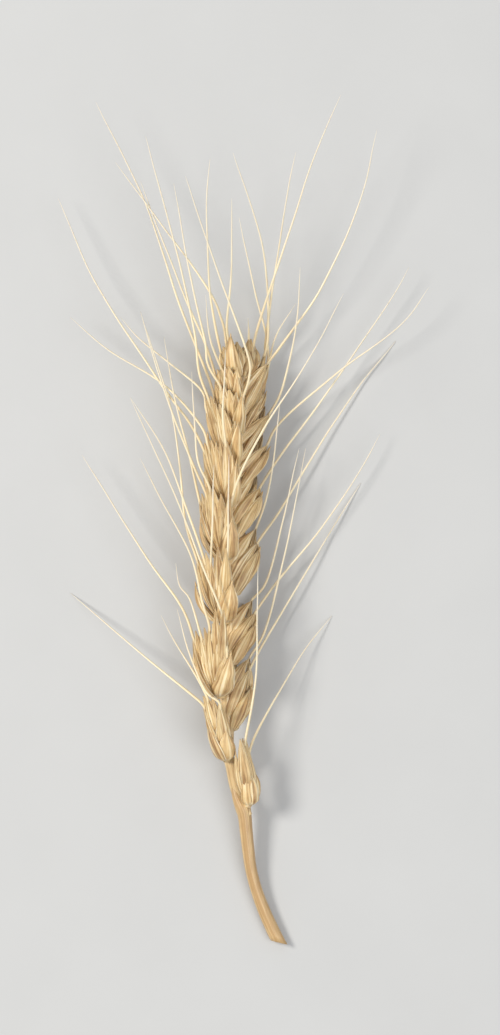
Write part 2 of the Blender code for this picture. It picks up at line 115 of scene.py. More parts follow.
# Bracts. A profile gives the half width along a bract, as a share of the widest.
LEMMA_PROFILE = ((0.0, 0.4), (0.2, 0.8), (0.45, 1.0), (0.7, 0.78), (0.88, 0.42), (1.0, 0.2))
SLIM_PROFILE = ((0.0, 0.3), (0.16, 0.55), (0.38, 0.86), (0.62, 1.0), (0.85, 0.66), (1.0, 0.2))
GLUME_BULGE = 1.15
LEMMA_BULGE = 0.95
MIDDLE_HALF_WIDTH = 2.1
SIDE_SHARE = 0.56  # half width of a bract on the side, as a share of the spikelet's thickness
INNER_SHARE = 0.35
FACING = {"far": -58.0, "inner": -24.0, "mid": 0.0, "front": 22.0, "near": 50.0}
SLIM_FACING = {"far": -95.0, "inner": 60.0, "mid": 30.0, "near": 95.0}
PLACE = {"far": -1.0, "inner": -0.45, "mid": 0.0, "front": 0.4, "near": 1.0}
SLIM_BELOW = 0.3
FOOT_UP = 0.1
FOOT_SPREAD = 0.45
BELLY_UP = 0.5
BELLY_LEAN = 0.55
FOOT_DEPTH, BELLY_DEPTH, TIP_DEPTH = 0.4, 0.5, 0.42
CORE_LENGTH = 0.72
CORE_BULGE = 0.42
HIDDEN_GLUME_LENGTH = 0.66
HIDDEN_LEMMA_LENGTH = 0.92
HIDDEN_ACROSS = -1.9
BASE_RISE = 0.6
TOP_SINK = 0.45

AWN_ROOT_RADIUS = 0.29
AWN_TIP_RADIUS = 0.1

Spikelet = namedtuple("Spikelet", "name node turn lean thick spread near_glume far_glume awned")

# Each spikelet from the lowest up: where its node is along the ear, the degrees that it turns towards -X and
# leans out, its thickness and spread, the tips of its glumes, and each lemma's role and tip, with the points
# of its awn and the height of the awn's end.
LEFT_ROW = (
    (-42.8, 22, 18, 2.7, 0.4, (-3.4, -34.4), (-6.3, -36.2), (
        ("far", (-7.2, -33.1), ((-9.5, -31.0), (-20.3, -22.3), (-31.1, -13.0)), 0.14),
        ("mid", (-6.7, -31.1), ((-8.3, -28.1), (-12.2, -22.0), (-14.8, -16.9)), 6.0),
        ("near", (-4.3, -32.6), ((-6.8, -30.4), (-9.7, -23.6), (-11.9, -15.7)), 10.0),
    )),
    (-31.3, 38, 22, 3.3, 1.0, (-2.2, -24.1), (-8.8, -23.2), (
        ("far", (-9.0, -20.9), ((-11.3, -15.1), (-18.5, -4.9), (-29.0, 11.9)), 5.0),
        ("mid", (-7.7, -20.2), ((-9.5, -14.2), (-11.5, -11.5), (-12.1, -7.6)), 9.0),
        ("inner", (-6.1, -18.7), ((-7.4, -14.2), (-9.5, -5.8), (-14.9, 4.1), (-18.5, 11.3)), 12.0),
        ("front", (-4.4, -20.4), (), 0.0),
        ("near", (-2.9, -23.6), ((-3.8, -16.9), (-7.7, -7.0), (-11.7, 3.4), (-20.2, 22.1)), 21.0),
    )),
    (-18.2, 36, 22, 3.3, 1.0, (-2.0, -11.2), (-8.5, -11.5), (
        ("far", (-8.3, -7.0), ((-10.3, -0.7), (-11.3, 9.2), (-13.0, 20.0), (-18.4, 37.6)), 9.0),
        ("mid", (-7.2, -6.3), ((-9.5, 0.2), (-14.0, 12.4), (-20.2, 22.1)), 12.0),
        ("inner", (-5.8, -7.0), ((-5.6, -1.6), (-5.4, 3.8), (-5.2, 10.1)), 17.0),
        ("front", (-4.2, -7.6), (), 0.0),
        ("near", (-3.1, -11.0), ((-2.7, -3.4), (-2.7, 3.8), (-2.5, 11.9)), 20.0),
    )),
    (-7.0, 36, 22, 3.1, 1.0, (-2.0, 0.2), (-7.6, -0.2), (
        ("far", (-7.9, 4.0), ((-9.7, 11.9), (-12.1, 20.9), (-14.2, 33.1)), 10.0),
        ("mid", (-6.7, 4.9), ((-9.2, 10.6), (-14.0, 23.0), (-16.7, 31.3), (-18.4, 37.6)), 14.0),
        ("inner", (-6.1, 6.1), ((-8.1, 10.6), (-8.6, 16.4), (-9.2, 26.8)), 17.0),
        ("front", (-4.2, 4.0), (), 0.0),
        ("near", (-2.5, 1.1), ((-1.1, 6.8), (3.4, 16.0), (12.1, 29.5), (18.0, 40.7)), 24.0),
    )),
    (2.5, 36, 24, 2.6, 1.0, (-1.2, 10.4), (-6.8, 9.2), (
        ("far", (-7.2, 13.1), ((-9.5, 17.5), (-14.9, 24.8), (-26.6, 43.0), (-33.3, 58.1)), 4.0),
        ("mid", (-6.3, 13.5), ((-7.7, 17.3), (-14.0, 24.3), (-24.3, 30.8), (-31.1, 36.7)), 5.0),
        ("inner", (-4.9, 14.2), (), 0.0),
        ("near", (-3.2, 14.6), ((-3.6, 19.1), (-3.4, 25.4), (-3.1, 30.8)), 19.0),
    )),
    (9.7, 36, 26, 2.3, 0.9, (-0.9, 17.5), (-6.3, 15.5), (
        ("far", (-6.7, 20.3), ((-7.6, 23.6), (-13.1, 28.3), (-18.5, 32.6), (-22.1, 36.7)), 6.0),
        ("mid", (-6.3, 22.1), ((-7.9, 26.8), (-8.8, 34.4), (-12.2, 49.3), (-17.5, 69.1)), 14.0),
        ("inner", (-4.9, 21.2), (), 0.0),
        ("near", (-3.4, 20.0), (), 0.0),
    )),
    (15.8, 36, 28, 2.0, 0.9, (-0.2, 22.6), (-5.6, 20.9), (
        ("far", (-5.4, 23.2), ((-6.8, 27.2), (-11.3, 38.5), (-17.5, 56.9), (-26.5, 75.4)), 9.0),
        ("mid", (-4.2, 24.4), ((-6.4, 28.3), (-7.0, 33.0), (-9.9, 46.1), (-12.4, 60.5)), 19.0),
        ("front", (-2.5, 23.6), (), 0.0),
        ("near", (-0.7, 20.3), ((1.1, 25.7), (0.7, 30.4), (-4.1, 43.4), (-10.3, 61.7)), 24.0),
    )),
    (21.0, 36, 28, 1.75, 0.8, (-1.0, 26.4), (-4.9, 24.5), (
        ("far", (-4.9, 25.9), ((-6.7, 31.7), (-10.3, 39.8), (-14.9, 51.5), (-18.4, 61.0)), 12.0),
        ("mid", (-4.0, 27.6), ((-5.9, 32.6), (-6.7, 40.5)), 20.0),
        ("near", (-2.4, 27.2), (), 0.0),
    )),
    (25.5, 36, 16, 2.4, 0.35, (-2.2, 33.3), (-4.0, 30.4), (
        ("far", (-4.0, 30.4), ((-5.2, 36.2), (-6.1, 43.4), (-6.6, 56.9), (-5.9, 65.0)), 16.0),
        ("mid", (-3.0, 31.7), ((-3.8, 35.8), (-6.8, 42.5), (-16.7, 56.0), (-22.9, 64.4)), 13.0),
        ("near", (-2.5, 32.0), ((-2.9, 35.3), (-2.2, 43.4), (-2.0, 57.8)), 22.0),
    )),
)

RIGHT_ROW = (
    (-51.6, -45, 23, 2.8, 0.7, (1.9, -42.1), (-0.4, -41.6), (
        ("near", (1.1, -41.6), ((3.1, -36.7), (10.3, -24.5), (16.0, -17.1)), 0.14),
        ("far", (-0.5, -39.2), (), 0.0),
        ("mid", (0.4, -39.6), ((2.2, -28.6), (2.6, -16.0), (2.7, -7.9)), 12.0),
    )),
    (-37.6, -135, 16, 3.1, 0.2, (1.5, -30.1), None, (
        ("near", (1.3, -26.5), ((4.9, -20.0), (11.7, -8.6), (21.2, 6.8)), 0.14),
        ("mid", (1.2, -24.5), ((4.0, -19.6), (7.2, -7.4), (11.3, 13.1)), 6.0),
    )),
    (-25.6, -140, 18, 3.1, 0.2, (2.1, -18.7), None, (
        ("near", (2.2, -16.4), ((5.8, -11.3), (13.9, -1.6), (21.1, 9.2), (24.7, 15.7)), 3.0),
        ("mid", (1.6, -14.2), ((4.3, -10.6), (7.4, 1.1), (10.1, 13.1)), 8.0),
    )),
    (-12.9, -144, 20, 3.1, 0.2, (2.9, -5.2), None, (
        ("near", (2.7, -3.8), ((6.7, 2.0), (12.1, 11.0), (21.1, 24.5), (27.5, 32.4)), 0.14),
        ("mid", (2.3, -1.3), ((4.1, 3.8), (5.6, 11.9), (6.7, 21.8)), 9.0),
    )),
    (-2.6, -146, 22, 2.8, 0.2, (3.3, 4.7), None, (
        ("near", (3.1, 6.1), ((7.0, 12.2), (15.7, 23.9), (26.5, 39.8), (29.9, 45.7)), 4.0),
        ("mid", (2.4, 8.6), (), 0.0),
    )),
    (6.0, -148, 26, 2.3, 0.2, (4.6, 12.8), None, (
        ("near", (4.4, 13.9), ((7.0, 18.2), (17.5, 27.0), (28.3, 35.3), (33.5, 42.1)), 7.0),
        ("mid", (3.5, 15.8), (), 0.0),
    )),
    (12.0, -150, 29, 1.9, 0.1, (4.6, 19.3), None, (
        ("near", (4.8, 19.4), ((7.2, 24.5), (9.7, 36.2), (10.3, 45.7)), 8.0),
        ("mid", (3.9, 20.6), (), 0.0),
    )),
    (16.4, -150, 32, 1.6, 0.1, (4.1, 23.0), None, (
        ("near", (4.1, 25.5), ((5.8, 32.9), (9.5, 39.2)), 6.0),
        ("mid", (3.6, 25.0), ((4.5, 30.8), (2.2, 41.0), (-0.7, 54.5)), 11.0),
    )),
    (20.6, -150, 22, 2.2, 0.2, (4.4, 27.7), None, (
        ("near", (4.5, 28.6), ((6.7, 31.5), (13.9, 41.6), (21.1, 57.8), (24.1, 70.4)), 10.0),
        ("inner", (4.0, 30.1), ((4.3, 34.4), (7.6, 56.9), (9.5, 66.2)), 16.0),
        ("mid", (3.5, 29.0), ((4.5, 34.4), (3.6, 48.8), (-1.8, 66.1)), 17.0),
    )),
)

TOP = (25.5, -48, 2, 2.7, 0.5, (2.2, 31.0), (0.4, 31.4), (
    ("near", (1.8, 31.5), ((3.1, 36.5), (8.5, 52.4), (12.4, 64.4), (17.5, 76.3)), 22.0),
    ("mid", (1.0, 32.8), ((0.9, 36.5),), 13.0),
))

SPIKELETS = [Spikelet(f"spikelet_left_{number}", *row) for number, row in enumerate(LEFT_ROW, 1)]
SPIKELETS += [Spikelet(f"spikelet_right_{number}", *row) for number, row in enumerate(RIGHT_ROW, 1)]
SPIKELETS.append(Spikelet("spikelet_top", *TOP))

# Finer detail than the solids have.
PROFILE_STEPS, AWN_STEPS, STALK_STEPS = 16, 24, 20  # samples from one given point of a curve to the next
GRAIN_SHIFT = 50.0  # each surface takes its grain from another place of the pattern, up to this far away
BRACT_RINGS = 26
UP = np.linspace(0.0, 1.0, BRACT_RINGS)  # where they stand, as a share of a bract's length
BRACT_ARC = 26  # points across a bract's back
INSIDE_ARC = 9  # points across its inside, which hardly shows
WING = 20.0  # degrees that a bract's margins wrap past its widest line
RIM_FROM = 0.66
SHELL = 0.13  # how thick a bract's papery wall is
RIM_THINNING = 0.75
WALL_MOST = 0.45  # of the half width
FOOT_ROUND = 0.75  # how far up a bract its foot rounds in, as a share of its half width
FOOT_MOST, FOOT_START = 0.3, 0.004  # of its length: the most that the foot takes, and where it starts
SHADES = (0.9, 1.06)  # how much lighter one bract is than the next
GLUME_SINK = 0.45
GLUME_LIFT = 1.1
SHORT_RISE = 0.4
GLUME_ROLES = {"near": (1.12, 10.0), "far": (-1.0, -48.0)}  # share of the spread, and facing
BELLY_LEANS = {"spikelet_left_1": 0.3}
PLUMP_PROFILE = ((0.0, 0.8), (0.14, 0.96), (0.32, 1.0), (0.6, 0.8), (0.84, 0.42), (1.0, 0.1))
GLUME_NERVES, LEMMA_NERVES, FILLER_NERVES, BACK_NERVES, EXTRA_NERVES = 6, 8, 5, 6, 3
GLUME_RIDGE, LEMMA_RIDGE = 0.045, 0.13
NERVE_BEND, BEND_WAVES = (0.1, 0.35), (0.7, 1.6)  # how far nerves stray from even spacing, and how often
NERVE_MEAN, NERVE_SWING, SWING_WAVES = 0.6, 0.4, (1.5, 3.0)  # some nerves stand higher than others
NERVE_FADE = (1.02, 0.03)
INSIDE_CREST = 0.3
KEEL, KEEL_AT, KEEL_WIDTH = 0.12, 0.36, 0.05  # a glume's keel: height, place and width
KEEL_FADE = (1.6, 0.25)
CREASES = 5
CREASE = 0.1  # how deep the long irregular folds of a dry bract are
CREASE_WAVES, CREASE_DRIFT = (0.8, 4.0), (-1.4, 1.4)
EDGE_WAVE, EDGE_WAVES = 0.05, (1.2, 2.6)
LEMMA_HALF = 1.55
LEAF_SIDES = 18
LEAF_RIDGES = 6
LEAF_RIDGE = 0.05
LEAF_SHARE = 0.84
LEAF_BACK = 0.7
LEAF_TAPER, LEAF_END = 0.12, 0.3  # of its length and of its size
GLUME_LIGHT = 0.94
GLUME_WIDE = 1.18  # how much wider a glume of the left row is than its lemmas
SLIM_SIDES = 0.84  # how much narrower the side bracts of the right row are
SLIMMER = {"spikelet_right_1": 0.8}  # the share of its bracts' width that a narrower spikelet has
LOW_GLUMES = {"spikelet_right_1": 0.2}  # glumes that stand out less from their spikelet
FILLER_SHARES = (0.22, 0.5, 0.78)
FILLER_SLIP = 0.08
FILLER_LENGTH = (0.82, 1.0)
FILLER_HALF, FILLER_HALVES = 0.95, (0.85, 1.15)
FILLER_FOOT = 0.35  # how far its foot follows its tip to the side
FILLER_BULGE = 1.05
FILLER_LIFT = (-0.1, 0.3)
FILLER_FACING = 50.0
LEAST_SPREAD = 0.6
BACK_LENGTH = (1.02, 1.12)
BACK_HALF = 1.35
BACK_SINK = -0.6
# Painted shade: bracts set back (the back fillers, the inner bracts and the reaching ones) are drawn this
# much less light.
BACK_SHADED_TONE = 0.88
REACHING = tuple(f"spikelet_left_{number}" for number in range(2, 9))
REACH_TIPS = ((-0.7, 2.4), (-2.2, 2.6))  # across from the axis, and beyond the next node
REACH_HALF = 1.3
REACH_FACING = 10.0
EXTRA_BRACTS = {
    "spikelet_right_1": (((0.1, 4.0), (1.4, -45.6), 1.15),),
    "spikelet_top": (((-0.2, -10.0), (0.6, 30.2), 0.9), ((0.9, 8.0), (2.4, 30.0), 0.95)),
}
EXTRA_RISE = 0.9
# Painted light: the extra bracts, which lie in shade, are drawn this much lighter.
EXTRA_PAINTED_LIGHT = 1.05

# The low glumes of the first spikelets, shorter than the bracts behind them: tips seen from above.
SHORT_GLUMES = {
    "spikelet_left_1": {"near": (-3.0, -37.6)},
    "spikelet_right_1": {"near": (1.9, -45.2), "far": (0.7, -44.6)},
}

# Bracts of the right row that reach over the axis: foot, belly, half width and height over it.
COVER_FEET = ((0.7, -0.6), (0.0, 1.6), (-0.5, 3.4))
COVER_BELLIES = ((-0.15, 0.4), (-0.7, 0.5), (-0.9, 0.6))
COVER_HALVES = (1.35, 1.5, 1.45)
COVER_RISES = (0.5, 0.5, 0.35)
COVER_TIP_RISE = -0.7
COVER_TIP_BACK = (0.25, 0.3)
COVER_UP = (0.25, -0.1, 1.0)
COVER_LIGHTS = (0.92, 1.05)
COVER_THICK = 3.1  # how thick a spikelet is whose covers have these sizes
COVER_BULGE_UP = 0.7
COVER_BULGE = 0.9
COVER_RIDGE = 0.08
COVER_PROFILE = ((0.0, 0.25), (0.18, 0.75), (0.4, 1.0), (0.65, 0.82), (0.86, 0.42), (1.0, 0.1))
BEAK, BEAKS = 0.9, (0.6, 1.1)  # the pointed tooth at a glume's tip, and how much beaks vary
BEAK_RADIUS, BEAK_POINT = 0.12, 0.05
BEAK_RINGS, BEAK_SIDES = 6, 8
CORE_SIDES = 16
CORE_SHARE = 0.6
CORE_FOOT, CORE_START = 0.15, 0.01
AWN_SIDES = 8
AWN_FROM = 5  # an awn starts this many rings below its bract's tip
AWN_CORNERS = 0.12  # an awn is three-cornered
AWN_STEP = 0.7
AWN_POINT, AWN_END = 5.0, 0.12  # the last stretch, over which an awn narrows, and how blunt it ends
AWN_TAPER, POINT_TAPER = 0.8, 0.6
AWN_WAVER, AWN_WAVES, WAVES_OVER = 0.1, (2.0, 5.0), 60
AWN_STEADY = 4.0  # how far from its ends an awn doesn't waver
AWN_SHADE = 0.12
BARB_STEP = 0.75  # an awn's edges carry short stiff teeth that lie forward
BARB, BARBS = 0.32, (0.7, 1.2)
BARB_FOOT = 0.045
BARB_SINK = 0.03
BARB_LIFT = 0.45
BARB_BARE = 3.0  # no teeth this near an awn's ends
BARB_SLIP, BARB_TWIST = 0.2, 0.3
BARB_ROOT = 0.7  # of the awn's radius
PYRAMID = ((0, 2, 1), (0, 1, 3), (1, 2, 3), (2, 0, 3))  # the faces of a tooth or hair
STALK_SIDES = 64
STALK_STEP = 0.5
STALK_RIDGES = 22
STALK_RIDGE = 0.018
STALK_UNEVEN, UNEVEN_OVER = 0.03, 9.0
STALK_GRAIN, AXIS_GRAIN = 3.0, 17.0
STALK_WALL = 0.38  # the cut end shows a wall round a pith hollow
HOLLOW = 2.2
CUT_CLEAR = 1.2  # no ring of the stalk stands closer to the slanted cut
CALLUS = 0.62  # half width of the short foot that joins a spikelet to its node
CALLUS_RINGS, CALLUS_SIDES = 8, 16
CALLUS_WAIST, CALLUS_SWELL, CALLUS_TONE = 0.8, 0.5, 0.3
INNER_BRACTS = ((-0.8, -125.0), (0.8, 125.0))  # across, and facing, on the side of the axis
INNER_LENGTH, INNER_LENGTHS = 0.82, (0.92, 1.05)
INNER_HALF = 1.15
INNER_DROP, INNER_TIP_DROP = -1.2, -0.9  # the belly and the tip stand this far towards the axis
AXIS_SIDES = 28
AXIS_STEP = 0.25
AXIS_RIDGES, AXIS_RIDGE = 9, 0.02
HAIRS_AT_NODE = 34
HAIR, HAIRS = 0.75, (0.6, 1.2)
HAIR_RADIUS = 0.022
HAIR_TURNS = (0.5, 1.6)  # to each side of the way a spikelet faces
HAIR_ROOTS, HAIR_PLACES = (0.75, 0.95), (-0.5, 0.5)  # out from the axis's middle, and along it
HAIR_OUT, HAIR_UP = 0.6, (0.5, 1.1)
HAIR_SIDES = (0.0, 2.1, 4.2)
HAIR_ASIDE = (0.3, 0.2, 1.0)

# The places of a spikelet's materials, and of the stem's. MIDDLE_LOOK is neither a crest nor a furrow.
CHAFF, AWN, GRAIN = 0, 1, 2
CULM, FRINGE = 0, 1
MIDDLE_LOOK = (0.5, 0.5, 0.0)

# Linear colours.
DEEP = (0.24, 0.13, 0.05, 1.0)
TAN = (0.45, 0.28, 0.125, 1.0)
STRAW = (0.66, 0.47, 0.235, 1.0)
PALE = (0.78, 0.61, 0.35, 1.0)
CREAM = (0.90, 0.78, 0.54, 1.0)
AWN_ROOT = (0.80, 0.64, 0.38, 1.0)
AWN_TIP = (0.78, 0.71, 0.58, 1.0)
KERNEL = (0.36, 0.20, 0.08, 1.0)
FLOOR = (0.50, 0.497, 0.485, 1.0)
FLOOR_SPECK = 1.03
FLOOR_HALF = 6.0  # metres
WARMTH = (1.0, 0.94, 0.84, 1.0)
NONE, FULL = (0.0,) * 4, (1.0,) * 4
GLOW_RADIUS, GLOW_SCALE = (1.0, 0.6, 0.3), 0.0006

# How light the right row's chaff, the stalk and the axis are, where 1 is the left row's chaff. The right
# row's value is painted shade: its chaff is drawn a little less light and more brown.
RIGHT_SHADED_TONE, STALK_TONE, AXIS_TONE = 0.98, 0.92, 1.04

# The photograph's framing: what its middle looks at, how tall its view is, and the camera.
VIEW_MIDDLE = (1.26, 0.63)
VIEW_TALL = 186.3
VIEW_HEIGHT = 6.0  # the level at which the framing holds
CAMERA_AWAY = 3000.0
SENSOR = 36.0


# The form of a bract. The ridge is how high its nerves stand, and the keel how high its keel does.
Form = namedtuple("Form", "profile half_width bulge nerves ridge keel", defaults=(LEMMA_RIDGE, 0.0))


def unit(vectors):
    return vectors / np.maximum(np.linalg.norm(vectors, axis=-1, keepdims=True), 1e-12)


def catmull_rom(points, t):
    """The point at t, from 0 to len(points) - 1, on a smooth curve through the points."""
    last = len(points) - 1
    i = min(int(t), last - 1)
    u = t - i
    b, c = points[i], points[i + 1]
    a = points[i - 1] if i > 0 else b * 2 - c
    d = points[i + 2] if i + 2 <= last else c * 2 - b
    return 0.5 * (
        2 * b
        + (c - a) * u
        + (2 * a - 5 * b + 4 * c - d) * u * u
        + (3 * b - a - 3 * c + d) * u ** 3
    )


def sampled(points, steps):
    """The smooth curve through the given points, in that many steps from each to the next."""
    return np.array([catmull_rom(points, k / steps) for k in range(steps * (len(points) - 1) + 1)])


def run_along(points):
    """How far along a path each of its points lies."""
    return np.concatenate([[0.0], np.cumsum(np.linalg.norm(np.diff(points, axis=0), axis=1))])


def evenly(rows, step, steps):
    """Rows about one step apart on the smooth curve through the given ones, and how far along they lie."""
    fine = sampled(rows, steps)
    lengths = run_along(fine[:, :3])
    want = np.linspace(0, lengths[-1], round(lengths[-1] / step) + 1)
    return np.stack([np.interp(want, lengths, column) for column in fine.T], axis=1), want


def around(sides):
    """Evenly spaced angles round a tube."""
    return np.linspace(0, TURN, sides, endpoint=False)


def square_to(along, other=(0.0, 0.0, 1.0)):
    """Two directions square to each given one, the first of them square to the other too."""
    across = unit(np.cross(along, np.array(other)))
    return across, np.cross(across, along)


def spokes(across, other, angles):
    """The directions at these angles round a point, or round each point of a path."""
    return across[..., None, :] * np.cos(angles)[:, None] + other[..., None, :] * np.sin(angles)[:, None]


def rings_on(way, aside, out):
    """Rings on a bract's middle line: how far each point stands aside, and out along its back."""
    line, back, width = way
    return line[:, None, :] + width * aside[..., None] + back * out[..., None]


def layer(rings, columns):
    """Three values for each point of the rings."""
    made = np.zeros(rings.shape)
    for k, column in enumerate(columns):
        made[..., k] = column
    return made


def flattened(reach):
    """A bract's inner side stands out less than its back."""
    return np.where(reach < 0, reach * INNER_SHARE, reach)


def smooth_profile(profile, at):
    """The profile's half width at each place, on a smooth curve through its rows."""
    fine = sampled([np.array(row) for row in profile], PROFILE_STEPS)
    return np.interp(at, fine[:, 0], fine[:, 1])


class Mesh:
    """Gathers closed surfaces, each point with its place on its bract, and makes one object."""

    def __init__(self):
        self.points, self.faces, self.kinds = [], [], []
        self.layers = {"grain": [], "tone": [], "look": []}
        self.count = 0

    def add(self, points, faces, kind, *layers):
        self.points.append(points)
        self.faces += [tuple(k + self.count for k in face) for face in faces]
        self.kinds += [kind] * len(faces)
        for rows, values in zip(self.layers.values(), layers):
            rows.append(np.broadcast_to(values, points.shape))
        self.count += len(points)

    def tube(self, rings, kind, grain, tone, look=MIDDLE_LOOK):
        """A closed surface through rings, shaped (rings, sides, 3), its ends capped.

        Grain is the place in the material's pattern: across, along, and which surface it is.
        Tone is how near the margin, how far up and how light. Look is the crest of a nerve and the hue.
        """
        high, sides = rings.shape[:2]
        faces = []
        for i in range(high - 1):
            low, top = i * sides, (i + 1) * sides
            for k in range(sides):
                after = (k + 1) % sides
                faces.append((low + k, low + after, top + after, top + k))
        faces.append(tuple(range(sides))[::-1])
        faces.append(tuple(range((high - 1) * sides, high * sides)))
        layers = [layer(rings, columns).reshape(-1, 3) for columns in (grain, tone, look)]
        self.add(rings.reshape(-1, 3), faces, kind, *layers)

    def build(self, name, materials):
        data = bpy.data.meshes.new(name)
        data.from_pydata((np.concatenate(self.points) * MM).tolist(), [], self.faces)
        for key, rows in self.layers.items():
            made = data.attributes.new(key, "FLOAT_VECTOR", "POINT")
            made.data.foreach_set("vector", np.concatenate(rows).astype(np.float32).ravel())
        for material in materials:
            data.materials.append(material)
        data.polygons.foreach_set("material_index", self.kinds)
        data.shade_smooth()
        data.update()
        obj = bpy.data.objects.new(name, data)
        bpy.context.scene.collection.objects.link(obj)
        return obj


def axis_at(y):
    """The point of the ear's axis at a place along the ear, and the axis's direction there."""
    points = [Vector(p) for p in AXIS]
    i = 0
    while i < len(points) - 2 and points[i + 1].y < y:
        i += 1
    share = (y - points[i].y) / (points[i + 1].y - points[i].y)
    inside = 0 <= share <= 1
    point = catmull_rom(points, i + share) if inside else points[i].lerp(points[i + 1], share)
    return point, (points[i + 1] - points[i]).normalized()


def outward_at(y, turn):
    """The direction square to the axis, turned from straight up towards -X."""
    along = axis_at(y)[1]
    up = Vector((0.0, 0.0, 1.0))
    up = (up - along * up.dot(along)).normalized()
    right = along.cross(up)
    angle = math.radians(turn)
    return up * math.cos(angle) - right * math.sin(angle)


class Frame:
    """A spikelet's own frame: its base, and the directions along, across and outward."""

    def __init__(self, spikelet):
        self.spikelet = spikelet
        point, axis = axis_at(spikelet.node)
        outward = outward_at(spikelet.node, spikelet.turn)
        lean = math.radians(spikelet.lean)
        self.base = point + outward * (WAIST_HALF[1] + ZIGZAG + GAP) + axis * BASE_RISE
        if spikelet.name == "spikelet_top":
            self.base = point + axis * BASE_RISE - outward * spikelet.thick * TOP_SINK
        self.along = axis * math.cos(lean) + outward * math.sin(lean)
        self.outward = outward * math.cos(lean) - axis * math.sin(lean)
        across = self.along.cross(self.outward)
        self.across = across if across.x > 0 else -across

    def place(self, s, p, q):
        return self.base + self.along * s + self.across * p + self.outward * q

    def solve(self, x, y, q):
        """How far along and across the spikelet a point seen at (x, y) lies, q outward."""
        dx = x - self.base.x - q * self.outward.x
        dy = y - self.base.y - q * self.outward.y
        det = self.along.x * self.across.y - self.across.x * self.along.y
        s = (dx * self.across.y - dy * self.across.x) / det
        p = (self.along.x * dy - self.along.y * dx) / det
        return s, p


def bezier(rows):
    """A bract's middle line, from its foot past its belly to its tip."""
    low, belly, high = (np.array(row, dtype=float) for row in rows)
    at = UP[:, None]
    return (1 - at) ** 2 * low + 2 * at * (1 - at) * belly + at * at * high


def spikelet_line(frame, role, tip, shift=0.0, sink=0.0, rise=0.0):
    """The middle line of a bract of a spikelet, and the directions of its back and width."""
    thick = frame.spikelet.thick
    if isinstance(role, str):
        spread = PLACE[role] * frame.spikelet.spread
        facing = (SLIM_FACING if frame.spikelet.spread < SLIM_BELOW else FACING)[role]
    else:
        share, facing = role
        spread = share * frame.spikelet.spread
    s_tip, p_tip = tip
    low = (FOOT_UP * thick - sink, spread * FOOT_SPREAD, FOOT_DEPTH * thick + rise / 2)
    lean = BELLY_LEANS.get(frame.spikelet.name, BELLY_LEAN)
    belly = (BELLY_UP * s_tip, p_tip * lean + spread, BELLY_DEPTH * thick + shift)
    high = (s_tip, p_tip, TIP_DEPTH * thick + rise)
    line = bezier([frame.place(*row) for row in (low, belly, high)])
    angle = math.radians(facing)
    back = frame.across * math.sin(angle) + frame.outward * math.cos(angle)
    width = frame.across * math.cos(angle) - frame.outward * math.sin(angle)
    return line, np.array(back), np.array(width)


def add_bract(mesh, way, form, light, draw):
    """One boat-shaped bract: a thin shell with nerves, folds and a keel, and its inner leaf."""
    line, back, width = way
    profile, half_width, bulge, nerves, ridge, keel_height = form
    length = np.linalg.norm(line[-1] - line[0])
    foot = min(FOOT_MOST, FOOT_ROUND * half_width / length)
    rounding = 1.0 - np.clip((UP + FOOT_START) / foot, 0.0, 1.0)
    share = smooth_profile(profile, UP) * np.sqrt(np.clip(1.0 - rounding ** 2, 0.0, 1.0))
    angles = np.radians(np.linspace(-WING, 180 + WING, BRACT_ARC))
    turn = (angles - angles[0]) / (angles[-1] - angles[0])
    bend = draw.uniform(*NERVE_BEND) * np.sin(TURN * (draw.uniform(*BEND_WAVES) * turn + draw.random()))
    wave = np.cos(TURN * (nerves * turn + bend + draw.random()))
    swing = np.sin(TURN * (turn * draw.uniform(*SWING_WAVES) + draw.random()))
    crest = (0.5 + 0.5 * wave) * (NERVE_MEAN + NERVE_SWING * swing)
    fade = np.clip(np.sin(math.pi * np.clip(UP * NERVE_FADE[0] + NERVE_FADE[1], 0, 1)), 0, 1) ** 0.5
    keel = np.exp(-((turn - KEEL_AT) / KEEL_WIDTH) ** 2) * keel_height
    lift = ridge * np.outer(fade, crest) + np.outer(np.clip(UP * KEEL_FADE[0] - KEEL_FADE[1], 0, 1), keel)
    crease = np.zeros(lift.shape)
    for _ in range(CREASES):
        waves, drift = draw.uniform(*CREASE_WAVES), draw.uniform(*CREASE_DRIFT)
        crease += np.sin(TURN * (waves * turn + drift * UP[:, None] + draw.random()))
    lift = lift + crease * CREASE / CREASES ** 0.5 * share[:, None]
    curl = 1.0 + EDGE_WAVE * np.sin(TURN * (UP * draw.uniform(*EDGE_WAVES) + draw.random()))
    side, reach = np.cos(angles) * half_width, flattened(np.sin(angles) * bulge)
    outer = rings_on(way, side * (share * curl)[:, None], reach * share[:, None])
    away = unit(
        width * (np.cos(angles) / half_width)[:, None]
        + back * (np.sin(angles) / bulge)[:, None]
    )
    outer = outer + away * (lift - ridge)[..., None]
    wall = np.minimum(SHELL, WALL_MOST * half_width * share)[:, None, None]
    thin = 1.0 - RIM_THINNING * np.abs(2 * turn - 1) ** 6
    kept = np.linspace(BRACT_ARC - 1, 0, INSIDE_ARC).round().astype(int)
    inner = (outer - away * wall * thin[:, None])[:, kept, :]
    rings = np.concatenate([outer, inner], axis=1)
    both = np.concatenate([np.arange(BRACT_ARC), kept])
    shade = light * draw.uniform(*SHADES)
    hue = draw.random()
    rim = np.clip((np.abs(2 * turn - 1) - RIM_FROM) / (1 - RIM_FROM), 0, 1)
    grain = turn[both] * (2 * half_width + bulge), (UP * length)[:, None], draw.uniform(0, GRAIN_SHIFT)
    look = np.concatenate([crest, crest[kept] * INSIDE_CREST]), hue, 0.0
    mesh.tube(rings, CHAFF, grain, (rim[both], UP[:, None], shade), look)
    add_leaf(mesh, way, share, half_width, bulge, shade, hue, draw)
    return line


